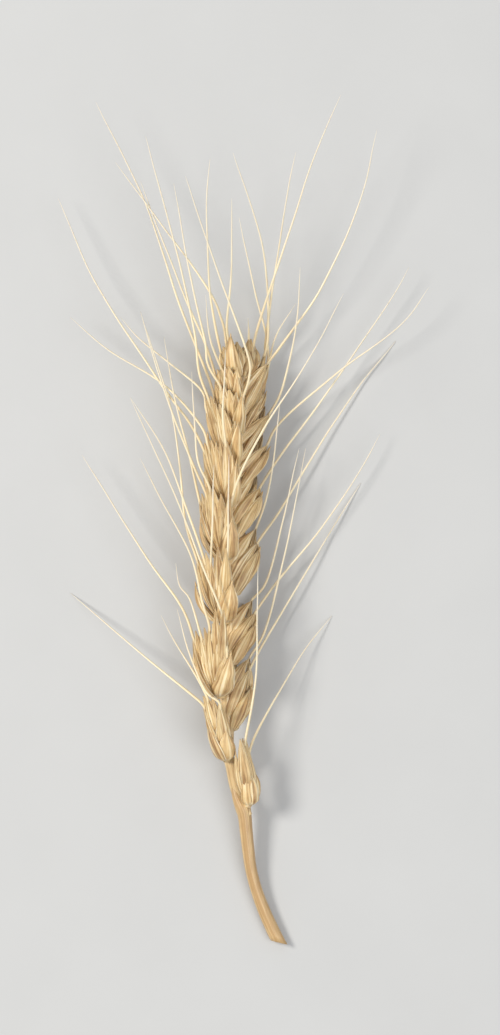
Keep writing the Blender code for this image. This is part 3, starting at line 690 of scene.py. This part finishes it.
def add_leaf(mesh, way, share, half_width, bulge, shade, hue, draw):
    """The inner leaf (palea) that closes a bract's open side."""
    line = way[0]
    angles = around(LEAF_SIDES)
    reach = np.where(np.sin(angles) < 0, np.sin(angles) * INNER_SHARE, np.sin(angles) * LEAF_BACK) * bulge
    ridge = 1.0 + LEAF_RIDGE * np.cos(LEAF_RIDGES * angles)
    small = (share * LEAF_SHARE * np.clip((1.0 - UP) / LEAF_TAPER, LEAF_END, 1.0))[:, None]
    rings = rings_on(way, np.cos(angles) * ridge * half_width * small, reach * ridge * small)
    length = np.linalg.norm(line[-1] - line[0])
    grain = angles * half_width, (UP * length)[:, None], draw.uniform(0, GRAIN_SHIFT)
    look = 0.5 + 0.5 * np.cos(LEAF_RIDGES * angles), hue, 0.0
    mesh.tube(rings, CHAFF, grain, (0.0, UP[:, None], shade), look)


def tone_of(spikelet):
    """Painted shade: the right row's chaff is drawn a little less light and more brown, apart from its lowest
    spikelet's.
    """
    shaded_row = spikelet.name.startswith("spikelet_right") and not spikelet.name.endswith("_1")
    return RIGHT_SHADED_TONE if shaded_row else 1.0


def add_core(mesh, frame, longest, profile, draw):
    """The filled middle of the spikelet, which shows only between its bracts."""
    way = spikelet_line(frame, "mid", (CORE_LENGTH * longest, 0.0))
    start = np.sqrt(np.clip((UP + CORE_START) / CORE_FOOT, 0, 1))
    share = (smooth_profile(profile, UP) * start * CORE_SHARE)[:, None]
    angles = around(CORE_SIDES)
    reach = flattened(np.sin(angles) * CORE_BULGE * frame.spikelet.thick)
    rings = rings_on(way, np.cos(angles) * MIDDLE_HALF_WIDTH * share, reach * share)
    grain = angles * MIDDLE_HALF_WIDTH, (UP * longest)[:, None], draw.uniform(0, GRAIN_SHIFT)
    mesh.tube(rings, GRAIN, grain, (0.0, UP[:, None], tone_of(frame.spikelet)))


def add_awn(mesh, line, points, height, draw):
    """An awn that starts inside its bract and rises or sinks evenly to its tip's height."""
    root = line[-1]
    flat = np.array([root[:2], *points])
    lengths = run_along(flat)
    path = [line[-AWN_FROM]]
    for place, length in zip(flat, lengths):
        path.append(np.array([*place, root[2] + (height - root[2]) * length / lengths[-1]]))
    path, _ = evenly(path, AWN_STEP, AWN_STEPS)
    run = run_along(path)
    left = run[-1] - run
    share = run / run[-1]
    waver = np.zeros(path.shape)
    for axis in (0, 1):
        for waves in AWN_WAVES:
            phase = waves * run[-1] / WAVES_OVER * share + draw.random()
            waver[:, axis] += np.sin(TURN * phase) / waves
    fade = np.clip(run / AWN_STEADY, 0, 1) * np.clip(left / AWN_STEADY, 0, 1)
    path = path + waver * AWN_WAVER * fade[:, None]
    radii = AWN_ROOT_RADIUS + (AWN_TIP_RADIUS - AWN_ROOT_RADIUS) * share ** AWN_TAPER
    radii = radii * np.clip(left / AWN_POINT + AWN_END, 0, 1) ** POINT_TAPER
    along = unit(np.gradient(path, axis=0))
    across, other = square_to(along)
    angles = around(AWN_SIDES)
    form = 1.0 - AWN_CORNERS * (1 - np.cos(3 * angles))
    rings = path[:, None, :] + spokes(across, other, angles) * (radii[:, None] * form)[..., None]
    grain = angles * AWN_ROOT_RADIUS, run[:, None], draw.uniform(0, GRAIN_SHIFT)
    tone = 0.0, share[:, None], 1.0 + draw.uniform(-AWN_SHADE, AWN_SHADE)
    mesh.tube(rings, AWN, grain, tone)
    add_barbs(mesh, path, run, radii, (along, across, other), draw)


def add_barbs(mesh, path, run, radii, ways, draw):
    """Short stiff teeth along an awn's edges, lying forward."""
    for k in range(int((run[-1] - 2 * BARB_BARE) / BARB_STEP)):
        where = BARB_BARE + k * BARB_STEP + draw.uniform(-BARB_SLIP, BARB_SLIP)
        i = int(np.searchsorted(run, where)) - 1
        along, across, other = (way[i] for way in ways)
        angle = TURN * (k % 3) / 3 + draw.uniform(-BARB_TWIST, BARB_TWIST)
        out = across * math.cos(angle) + other * math.sin(angle)
        sideways = np.cross(along, out)
        middle = path[i] + out * radii[i] * BARB_ROOT
        size = BARB * draw.uniform(*BARBS)
        corners = [
            middle - along * BARB_FOOT * 2 - out * BARB_SINK,
            middle + sideways * BARB_FOOT + along * BARB_FOOT - out * BARB_SINK,
            middle - sideways * BARB_FOOT + along * BARB_FOOT - out * BARB_SINK,
            middle + along * size + out * size * BARB_LIFT,
        ]
        mesh.add(np.array(corners), PYRAMID, AWN, (0.0, where, 1.0), (0.0, where / run[-1], 1.1), MIDDLE_LOOK)


def add_beak(mesh, frame, line, profile, half_width, draw):
    """The pointed tooth at the end of a glume."""
    along = unit(line[-1] - line[-3])
    size = BEAK * draw.uniform(*BEAKS)
    radius = max(BEAK_RADIUS, profile[-1][1] * half_width)
    steps = np.linspace(-0.5, 1.0, BEAK_RINGS)
    path = line[-1] + along * (steps * size)[:, None]
    radii = radius * np.clip(1.0 - steps, BEAK_POINT, 1.0) ** 0.8
    across, other = square_to(along)
    rings = path[:, None, :] + spokes(across, other, around(BEAK_SIDES)) * radii[:, None, None]
    grain = 0.0, (steps * size)[:, None], 0.0
    mesh.tube(rings, CHAFF, grain, (0.0, 1.0, tone_of(frame.spikelet)))


def add_fillers(mesh, frame, rows, profile, light, draw):
    """The narrow sterile bracts that stand between the awned ones and fill the fan."""
    depth = TIP_DEPTH * frame.spikelet.thick
    tips = sorted((frame.solve(*row[1], depth) for row in rows), key=lambda tip: tip[1])
    for (s_a, p_a), (s_b, p_b) in zip(tips, tips[1:]):
        for share in FILLER_SHARES:
            share = share + draw.uniform(-FILLER_SLIP, FILLER_SLIP)
            s = (s_a + (s_b - s_a) * share) * draw.uniform(*FILLER_LENGTH)
            p = p_a + (p_b - p_a) * share
            foot = max(-1.0, min(1.0, p / max(frame.spikelet.spread, LEAST_SPREAD) * FILLER_FOOT))
            form = Form(profile, FILLER_HALF * draw.uniform(*FILLER_HALVES), FILLER_BULGE, FILLER_NERVES)
            way = spikelet_line(frame, (foot, FILLER_FACING * foot), (s, p), draw.uniform(*FILLER_LIFT))
            add_bract(mesh, way, form, light, draw)
        s = (s_a + s_b) / 2 * draw.uniform(*BACK_LENGTH)
        p = (p_a + p_b) / 2
        form = Form(profile, BACK_HALF, FILLER_BULGE, BACK_NERVES)
        way = spikelet_line(frame, (p * FILLER_FOOT, 0.0), (s, p), BACK_SINK)
        # Painted shade: this bract lies set back, so it is drawn less light.
        add_bract(mesh, way, form, light * BACK_SHADED_TONE, draw)


def add_callus(mesh, frame, light, draw):
    """The short foot by which a spikelet sits on its node of the axis."""
    node, _ = axis_at(frame.spikelet.node)
    start, end = np.array(node), np.array(frame.place(FOOT_UP, 0.0, FOOT_DEPTH * frame.spikelet.thick))
    steps = np.linspace(0.0, 1.0, CALLUS_RINGS)[:, None, None]
    angles = around(CALLUS_SIDES)
    thick = CALLUS * (CALLUS_WAIST + CALLUS_SWELL * steps ** 2)
    out = spokes(np.array(frame.across), np.array(frame.along), angles)
    rings = start + (end - start) * steps + out * thick
    grain = angles, 0.0, draw.uniform(0, GRAIN_SHIFT)
    mesh.tube(rings, CHAFF, grain, (0.0, CALLUS_TONE, light))


def add_inner(mesh, frame, longest, light, draw):
    """The bracts on the side of a spikelet that lies against the axis."""
    for across, facing in INNER_BRACTS:
        tip = (INNER_LENGTH * longest * draw.uniform(*INNER_LENGTHS), across)
        way = spikelet_line(frame, (across, facing), tip, INNER_DROP, 0.0, INNER_TIP_DROP)
        form = Form(LEMMA_PROFILE, INNER_HALF, LEMMA_BULGE, BACK_NERVES)
        # Painted shade: these bracts lie against the axis, so they are drawn less light.
        add_bract(mesh, way, form, light * BACK_SHADED_TONE, draw)


def add_reaching(mesh, frame, light, draw):
    """Bracts that reach up under the next spikelet of the left row, so that no gap shows."""
    spikelet = frame.spikelet
    if spikelet.name not in REACHING:
        return
    nodes = [row[0] for row in LEFT_ROW]
    after = nodes[nodes.index(spikelet.node) + 1]
    axis, _ = axis_at(after)
    for across, beyond in REACH_TIPS:
        tip = frame.solve(axis.x + across, after + beyond, TIP_DEPTH * spikelet.thick + BACK_SINK)
        form = Form(LEMMA_PROFILE, REACH_HALF, FILLER_BULGE, BACK_NERVES)
        way = spikelet_line(frame, (0.0, REACH_FACING), tip, BACK_SINK)
        # Painted shade: these bracts lie under the next spikelet, so they are drawn less light.
        add_bract(mesh, way, form, light * BACK_SHADED_TONE, draw)


def add_covers(mesh, spikelet, light, draw):
    """Bracts of the right row that wrap over the edge of the axis, backs to the camera."""
    axis, _ = axis_at(spikelet.node)
    size = spikelet.thick / COVER_THICK
    tips = {role: root for role, root, _, _ in spikelet.awned}
    tips = (spikelet.near_glume, tips["near"], tips["mid"])
    for tip, foot, belly, half, rise in zip(tips, COVER_FEET, COVER_BELLIES, COVER_HALVES, COVER_RISES):
        z = axis.z + rise * size
        low = np.array([axis.x + foot[0] * size, axis.y + foot[1], z])
        high = np.array([tip[0] - COVER_TIP_BACK[0], tip[1] - COVER_TIP_BACK[1], z + COVER_TIP_RISE])
        middle = (low + high) / 2 + np.array([*belly, COVER_BULGE_UP]) * size
        line = bezier((low, middle, high))
        width, back = square_to(high - low, unit(np.array(COVER_UP)))
        half_width = half * size * SLIMMER.get(spikelet.name, 1.0)
        form = Form(COVER_PROFILE, half_width, COVER_BULGE * size, LEMMA_NERVES, COVER_RIDGE)
        add_bract(mesh, (line, unit(back), width), form, light * draw.uniform(*COVER_LIGHTS), draw)


def make_spikelet(spikelet, materials, draw):
    frame = Frame(spikelet)
    slim = spikelet.spread < SLIM_BELOW
    narrow = SLIMMER.get(spikelet.name, SLIM_SIDES if slim else 1.0)
    side_half = SIDE_SHARE * spikelet.thick * narrow
    depth = TIP_DEPTH * spikelet.thick
    light = tone_of(spikelet)
    profile = SLIM_PROFILE if slim else LEMMA_PROFILE
    longest = max(frame.solve(*row[1], depth)[0] for row in spikelet.awned)
    mesh = Mesh()
    add_core(mesh, frame, longest, profile, draw)
    add_callus(mesh, frame, light, draw)
    add_inner(mesh, frame, longest, light, draw)
    add_glumes(mesh, frame, longest, narrow, draw)
    if all(row[0] != "far" for row in spikelet.awned):
        way = spikelet_line(frame, "far", (HIDDEN_LEMMA_LENGTH * longest, HIDDEN_ACROSS))
        add_bract(mesh, way, Form(profile, side_half, LEMMA_BULGE * narrow, LEMMA_NERVES), light, draw)
    for role, root, points, height in spikelet.awned:
        way = spikelet_line(frame, role, frame.solve(*root, depth))
        half = side_half if role in ("near", "far") else LEMMA_HALF
        form = Form(profile, half, LEMMA_BULGE * narrow, LEMMA_NERVES)
        line = add_bract(mesh, way, form, light, draw)
        if points:
            add_awn(mesh, line, points, height, draw)
    if slim:
        add_covers(mesh, spikelet, light, draw)
    else:
        add_fillers(mesh, frame, spikelet.awned, profile, light, draw)
        add_reaching(mesh, frame, light, draw)
    for role, tip, half in EXTRA_BRACTS.get(spikelet.name, ()):
        place = frame.solve(*tip, depth + EXTRA_RISE)
        way = spikelet_line(frame, role, place, EXTRA_RISE, GLUME_SINK, EXTRA_RISE)
        form = Form(PLUMP_PROFILE, half, GLUME_BULGE, EXTRA_NERVES, GLUME_RIDGE)
        # Painted light: these bracts are drawn lighter to lift them out of their shade.
        add_bract(mesh, way, form, light * EXTRA_PAINTED_LIGHT, draw)
    keep_above_floor(mesh)
    obj = mesh.build(spikelet.name + "_chaff", materials)
    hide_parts(spikelet.name)
    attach(obj, "root")


def add_glumes(mesh, frame, longest, narrow, draw):
    """A spikelet's two outer bracts, one to each side, with their keels and beaks."""
    spikelet = frame.spikelet
    slim = spikelet.spread < SLIM_BELOW
    side_half = SIDE_SHARE * spikelet.thick * narrow
    profile, half = (SLIM_PROFILE, side_half) if slim else (PLUMP_PROFILE, side_half * GLUME_WIDE)
    form = Form(profile, half, GLUME_BULGE * narrow, GLUME_NERVES, GLUME_RIDGE, KEEL)
    lift = LOW_GLUMES.get(spikelet.name, GLUME_LIFT)
    rise = SHORT_RISE if spikelet.name in SHORT_GLUMES else 0.0
    glumes = {"near": spikelet.near_glume, "far": spikelet.far_glume}
    glumes.update(SHORT_GLUMES.get(spikelet.name, {}))
    for role, tip in glumes.items():
        place = (HIDDEN_GLUME_LENGTH * longest, HIDDEN_ACROSS)
        if tip:
            place = frame.solve(*tip, TIP_DEPTH * spikelet.thick + rise)
        if slim:
            way = spikelet_line(frame, role, place)
        else:
            way = spikelet_line(frame, GLUME_ROLES[role], place, lift, GLUME_SINK, rise)
        line = add_bract(mesh, way, form, tone_of(spikelet) * GLUME_LIGHT, draw)
        add_beak(mesh, frame, line, profile, side_half, draw)


def keep_above_floor(mesh):
    """The lowest bracts are pressed flat where they rest."""
    for points in mesh.points:
        points[:, 2] = np.maximum(points[:, 2], 0.0)


def tube_frames(path):
    """Directions square to a path, turned as little as possible from one point to the next."""
    along = unit(np.gradient(path, axis=0))
    across = np.zeros_like(path)
    last = np.array([0.0, 0.0, 1.0])
    for i, direction in enumerate(along):
        last = unit(last - direction * last.dot(direction))
        across[i] = last
    return along, across, np.cross(along, across)


def make_stem(materials, draw):
    """The stalk with its pith hollow, the collar and the zigzag axis with hairs at its nodes."""
    mesh = Mesh()
    rows = [np.array([*point, radius]) for point, radius in STALK]
    rows += [np.array([*axis_at(COLLAR_AT + above)[0], radius]) for above, radius in COLLAR]
    table, want = evenly(rows, STALK_STEP, STALK_STEPS)
    path, radii = table[:, :3], table[:, 3]
    along, across, other = tube_frames(path)
    angles = around(STALK_SIDES)
    uneven = STALK_UNEVEN * np.sin(2 * angles + want[:, None] / UNEVEN_OVER)
    ridges = STALK_RIDGE * np.cos(STALK_RIDGES * angles) + uneven
    reach = radii[:, None] + ridges - STALK_RIDGE
    rings = path[:, None, :] + spokes(across, other, angles) * reach[..., None]
    normal = np.array(Vector(CUT_NORMAL).normalized())
    slant = ((path[0] - rings[0]) @ normal) / (along[0] @ normal)
    rings[0] = rings[0] + along[0] * slant[:, None]
    clear = (want == 0) | (want > CUT_CLEAR)
    rings, want = rings[clear], want[clear]
    wall = path[0] + (rings[0] - path[0]) * (1 - STALK_WALL / radii[0])
    rings = np.concatenate([[wall + along[0] * HOLLOW], [wall], rings])
    rings[..., 2] = np.maximum(rings[..., 2], 0.0)
    run = np.concatenate([[HOLLOW, 0.0], want])[:, None]
    mesh.tube(rings, CULM, (angles * STALK[0][1], run, STALK_GRAIN), (0.0, 0.0, STALK_TONE))
    add_axis(mesh)
    add_node_hairs(mesh, draw)
    obj = mesh.build("stem_and_rachis_straw", materials)
    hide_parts("stem_and_rachis")
    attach(obj, "root")


def axis_stations():
    """Where along the ear the axis's swell and its share of the zigzag are given."""
    nodes = sorted((s.node, s.turn) for s in SPIKELETS)
    first, last = AXIS[0][1] - AXIS_SINK, AXIS[-1][1]
    stations = [(first, 0.0, 0.0)]
    for node, turn in nodes[:-1]:
        side = 1.0 if turn > 0 else -1.0
        stations += [(node + offset, swell, side * share) for offset, swell, share in NODE_SHAPE]
    stations.append((last, AXIS_TOP_SWELL, 0.0))
    stations.sort()
    kept = [stations[0]]
    for station in stations[1:]:
        if station[0] - kept[-1][0] > CLOSEST_RINGS:
            kept.append(station)
    return np.array(kept)


def add_axis(mesh):
    """The axis's flattened rings, wide at each node and shifted to its spikelet's side."""
    kept = axis_stations()
    first, last = kept[0][0], kept[-1][0]
    places = np.linspace(first, last, round((last - first) / AXIS_STEP))
    swells = np.interp(places, kept[:, 0], kept[:, 1])
    sides = np.interp(places, kept[:, 0], kept[:, 2])
    angles = around(AXIS_SIDES)
    ridge = 1.0 + AXIS_RIDGE * np.cos(AXIS_RIDGES * angles)
    rings = []
    for y, swell, side in zip(places, swells, sides):
        centre, along = axis_at(y)
        flat = outward_at(y, AXIS_FLAT_TURN)
        wide, flat = np.array(along.cross(flat)), np.array(flat)
        shrink = 1.0 - (1.0 - AXIS_TOP_SHRINK) * (y - first) / (last - first)
        half_wide, half_thick = (
            (waist + (node - waist) * swell) * shrink for waist, node in zip(WAIST_HALF, NODE_HALF)
        )
        rings.append(
            np.array(centre) + flat * ZIGZAG * side
            + wide * (np.cos(angles) * half_wide * ridge)[:, None]
            + flat * (np.sin(angles) * half_thick * ridge)[:, None]
        )
    mesh.tube(np.array(rings), CULM, (angles, places[:, None], AXIS_GRAIN), (0.0, 0.0, AXIS_TONE))


def add_node_hairs(mesh, draw):
    """A short pale fringe on the edges of the axis under each spikelet."""
    for spikelet in SPIKELETS:
        centre, along = axis_at(spikelet.node)
        outward = outward_at(spikelet.node, spikelet.turn)
        wide = along.cross(outward)
        for _ in range(HAIRS_AT_NODE):
            angle = draw.choice((-1.0, 1.0)) * draw.uniform(*HAIR_TURNS)
            direction = outward * math.cos(angle) + wide * math.sin(angle)
            root = centre + direction * draw.uniform(*HAIR_ROOTS) + along * draw.uniform(*HAIR_PLACES)
            lean = (direction * HAIR_OUT + along * draw.uniform(*HAIR_UP)).normalized()
            add_hair(mesh, np.array(root), np.array(root + lean * HAIR * draw.uniform(*HAIRS)))


def add_hair(mesh, root, tip):
    """One straight pointed hair."""
    across, other = square_to(unit(tip - root), HAIR_ASIDE)
    foot = root + spokes(across, other, np.array(HAIR_SIDES)) * HAIR_RADIUS
    mesh.add(np.array([*foot, tip]), PYRAMID, FRINGE, (0.0, 0.0, 2.0), (0.0, 1.0, 1.2), MIDDLE_LOOK)


class Nodes:
    """Short ways to add and join shader nodes in one material."""

    def __init__(self, name):
        self.material = bpy.data.materials.new(name)
        self.material.use_nodes = True
        self.tree = self.material.node_tree
        self.shader = self.tree.nodes["Principled BSDF"]

    def node(self, kind, **values):
        made = self.tree.nodes.new(kind)
        for key, value in values.items():
            setattr(made, key, value)
        return made

    def link(self, source, target):
        self.tree.links.new(source, target)

    def attribute(self, name):
        made = self.node("ShaderNodeAttribute", attribute_name=name, attribute_type="GEOMETRY")
        return made.outputs["Vector"]

    def parts(self, name):
        """The three numbers of an attribute."""
        split = self.node("ShaderNodeSeparateXYZ")
        self.link(self.attribute(name), split.inputs[0])
        return split.outputs

    def give(self, made, places, values):
        """Each of a node's inputs at these places takes a value, or a link from a socket."""
        for place, value in zip(places, values):
            if isinstance(value, (int, float, tuple)):
                made.inputs[place].default_value = value
            else:
                self.link(value, made.inputs[place])

    def math(self, operation, a, b, clamp=False):
        made = self.node("ShaderNodeMath", operation=operation, use_clamp=clamp)
        self.give(made, (0, 1), (a, b))
        return made.outputs[0]

    def weighted(self, *terms):
        """The sum of values, each times its weight."""
        total = self.math("MULTIPLY", *terms[0])
        for term in terms[1:]:
            total = self.math("ADD", total, self.math("MULTIPLY", *term))
        return total

    def noise(self, vector, scale, detail=3.0, roughness=0.55):
        """Noise over a vector that is stretched by scale."""
        stretch = self.node("ShaderNodeVectorMath", operation="MULTIPLY")
        self.give(stretch, (0, 1), (vector, scale))
        made = self.node("ShaderNodeTexNoise")
        self.give(made, ("Scale", "Detail", "Roughness"), (1.0, detail, roughness))
        self.link(stretch.outputs[0], made.inputs["Vector"])
        return made.outputs["Fac"]

    def ramp(self, factor, stops):
        made = self.node("ShaderNodeValToRGB")
        ramp = made.color_ramp
        while len(ramp.elements) < len(stops):
            ramp.elements.new(0.5)
        for element, (place, colour) in zip(ramp.elements, stops):
            element.position = place
            element.color = colour
        self.link(factor, made.inputs[0])
        return made.outputs[0]

    def mix(self, factor, a, b, blend="MIX"):
        made = self.node("ShaderNodeMix", data_type="RGBA", blend_type=blend)
        self.give(made, (0, 6, 7), (factor, a, b))
        return made.outputs[2]

    def bump(self, height, strength, distance):
        made = self.node("ShaderNodeBump")
        self.give(made, ("Strength", "Distance", "Height"), (strength, distance, height))
        self.link(made.outputs[0], self.shader.inputs["Normal"])

    def finish(self, colour, roughness, subsurface=0.0):
        self.give(self.shader, ("Base Color", "Roughness"), (colour, roughness))
        if subsurface:
            glow = ("Subsurface Weight", "Subsurface Radius", "Subsurface Scale")
            self.give(self.shader, glow, (subsurface, GLOW_RADIUS, GLOW_SCALE))
        return self.material


def chaff_material():
    n = Nodes("chaff")
    grain = n.attribute("grain")
    rim, up, light = n.parts("tone")
    crest, hue, _ = n.parts("look")
    fine = n.noise(grain, (3.0, 0.12, 1.0), detail=4.0, roughness=0.65)
    broad = n.noise(grain, (1.1, 0.08, 1.0), detail=2.0)
    blotch = n.noise(grain, (0.5, 0.3, 1.0), detail=2.0)
    value = n.weighted((fine, 0.7), (broad, 0.3), (blotch, 0.25), (crest, 0.3), (hue, 0.08))
    colour = n.ramp(value, ((0.55, DEEP), (0.65, TAN), (0.75, STRAW), (0.86, PALE), (0.96, CREAM)))
    colour = n.mix(hue, colour, n.mix(1.0, colour, WARMTH, "MULTIPLY"))
    # Painted shade: a tan band just inside each bract's margin stands for the shade in the recess where the
    # bracts overlap.
    painted_recess_shade = n.ramp(rim, ((0.02, NONE), (0.2, FULL), (0.4, NONE)))
    colour = n.mix(n.math("MULTIPLY", painted_recess_shade, 0.55), colour, TAN)
    # A cream margin on each bract: partly its thin pale margin, partly painted highlight along its edge.
    edge = n.ramp(rim, ((0.3, NONE), (0.55, FULL)))
    colour = n.mix(n.math("MULTIPLY", edge, 0.9), colour, CREAM)
    foot = n.math("SUBTRACT", 1.0, n.math("MULTIPLY", up, 7.0), True)
    colour = n.mix(n.math("MULTIPLY", foot, 0.55), colour, CREAM)
    tip = n.math("MULTIPLY", n.math("SUBTRACT", up, 0.8, True), 4.0, True)
    colour = n.mix(n.math("MULTIPLY", tip, 0.35), colour, TAN)
    # Bracts with a lower light value turn towards tan: this carries each bract's own random tone, painted
    # shade on the right row and on bracts set back, and painted light on the extra bracts.
    tone_and_painted_shade = n.math("MULTIPLY", n.math("SUBTRACT", 1.0, light, True), 2.0, True)
    colour = n.mix(tone_and_painted_shade, colour, n.mix(0.45, colour, TAN))
    n.bump(n.math("ADD", fine, n.math("MULTIPLY", broad, 0.6)), strength=0.8, distance=0.0002)
    return n.finish(colour, roughness=0.46, subsurface=0.12)


def awn_material():
    n = Nodes("awn")
    streak = n.noise(n.attribute("grain"), (3.0, 0.2, 1.0))
    colour = n.ramp(n.parts("tone")[1], ((0.0, AWN_ROOT), (0.3, CREAM), (0.9, AWN_TIP)))
    colour = n.mix(n.math("MULTIPLY", streak, 0.3), colour, STRAW)
    n.bump(streak, strength=0.4, distance=0.00004)
    return n.finish(colour, roughness=0.4, subsurface=0.1)


def kernel_material():
    n = Nodes("kernel")
    streak = n.noise(n.attribute("grain"), (2.0, 0.2, 1.0))
    n.bump(streak, strength=0.5, distance=0.00008)
    return n.finish(n.ramp(streak, ((0.35, DEEP), (0.5, KERNEL), (0.7, TAN))), roughness=0.6)


def stalk_material():
    n = Nodes("stalk")
    grain = n.attribute("grain")
    fine = n.noise(grain, (6.0, 0.07, 1.0), detail=4.0, roughness=0.6)
    broad = n.noise(grain, (1.6, 0.03, 1.0), detail=2.0)
    blotch = n.noise(grain, (0.6, 0.25, 1.0))
    value = n.weighted((fine, 0.35), (broad, 0.45), (blotch, 0.2))
    value = n.math("ADD", value, n.math("SUBTRACT", n.parts("tone")[2], 1.0))
    colour = n.ramp(value, ((0.38, TAN), (0.51, STRAW), (0.65, PALE), (0.77, CREAM)))
    n.bump(fine, strength=0.5, distance=0.00006)
    return n.finish(colour, roughness=0.38, subsurface=0.08)


def floor_material():
    n = Nodes("floor")
    place = n.node("ShaderNodeNewGeometry").outputs["Position"]
    speck = n.noise(place, (40.0, 40.0, 40.0), detail=4.0)
    light = tuple(min(1.0, part * FLOOR_SPECK) for part in FLOOR)
    return n.finish(n.ramp(speck, ((0.3, FLOOR), (0.7, light))), roughness=0.85)


def make_floor():
    data = bpy.data.meshes.new("floor")
    corners = [(x * FLOOR_HALF, y * FLOOR_HALF, 0.0) for x, y in ((-1, -1), (1, -1), (1, 1), (-1, 1))]
    data.from_pydata(corners, [], [(0, 1, 2, 3)])
    data.materials.append(floor_material())
    floor = bpy.data.objects.new("floor", data)
    bpy.context.scene.collection.objects.link(floor)


def add_area(name, place, size, power, colour):
    data = bpy.data.lights.new(name, "AREA")
    data.shape = "DISK"
    data.size = size
    data.energy = power
    data.color = colour
    light = bpy.data.objects.new(name, data)
    light.location = place
    light.rotation_mode = "QUATERNION"
    light.rotation_quaternion = (-Vector(place)).to_track_quat("-Z", "Y")
    bpy.context.scene.collection.objects.link(light)


def make_light():
    add_area("key", place=(-0.75, 0.2, 0.85), size=0.35, power=10.5, colour=(1.0, 0.98, 0.94))
    add_area("fill", place=(0.6, -0.4, 1.2), size=1.2, power=11.5, colour=(0.96, 0.98, 1.0))
    world = bpy.data.worlds.new("studio")
    bpy.context.scene.world = world
    world.use_nodes = True
    background = world.node_tree.nodes["Background"]
    background.inputs["Color"].default_value = (0.93, 0.95, 1.0, 1.0)
    background.inputs["Strength"].default_value = 0.42
    bpy.context.scene.view_settings.view_transform = "Standard"


def make_camera():
    data = bpy.data.cameras.new("camera")
    data.sensor_width = SENSOR
    data.lens = SENSOR * CAMERA_AWAY / VIEW_TALL
    data.clip_start, data.clip_end = 0.1, 20.0
    camera = bpy.data.objects.new("camera", data)
    camera.location = Vector((*VIEW_MIDDLE, VIEW_HEIGHT + CAMERA_AWAY)) * MM
    bpy.context.scene.collection.objects.link(camera)
    bpy.context.scene.camera = camera


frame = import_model()
make_camera()
make_light()
make_floor()
spikelet_materials = [chaff_material(), awn_material(), kernel_material()]
stem_materials = [stalk_material(), spikelet_materials[1]]
make_stem(stem_materials, random.Random(SEED))
for number, row in enumerate(SPIKELETS):
    make_spikelet(row, spikelet_materials, random.Random(SEED + 1 + number))
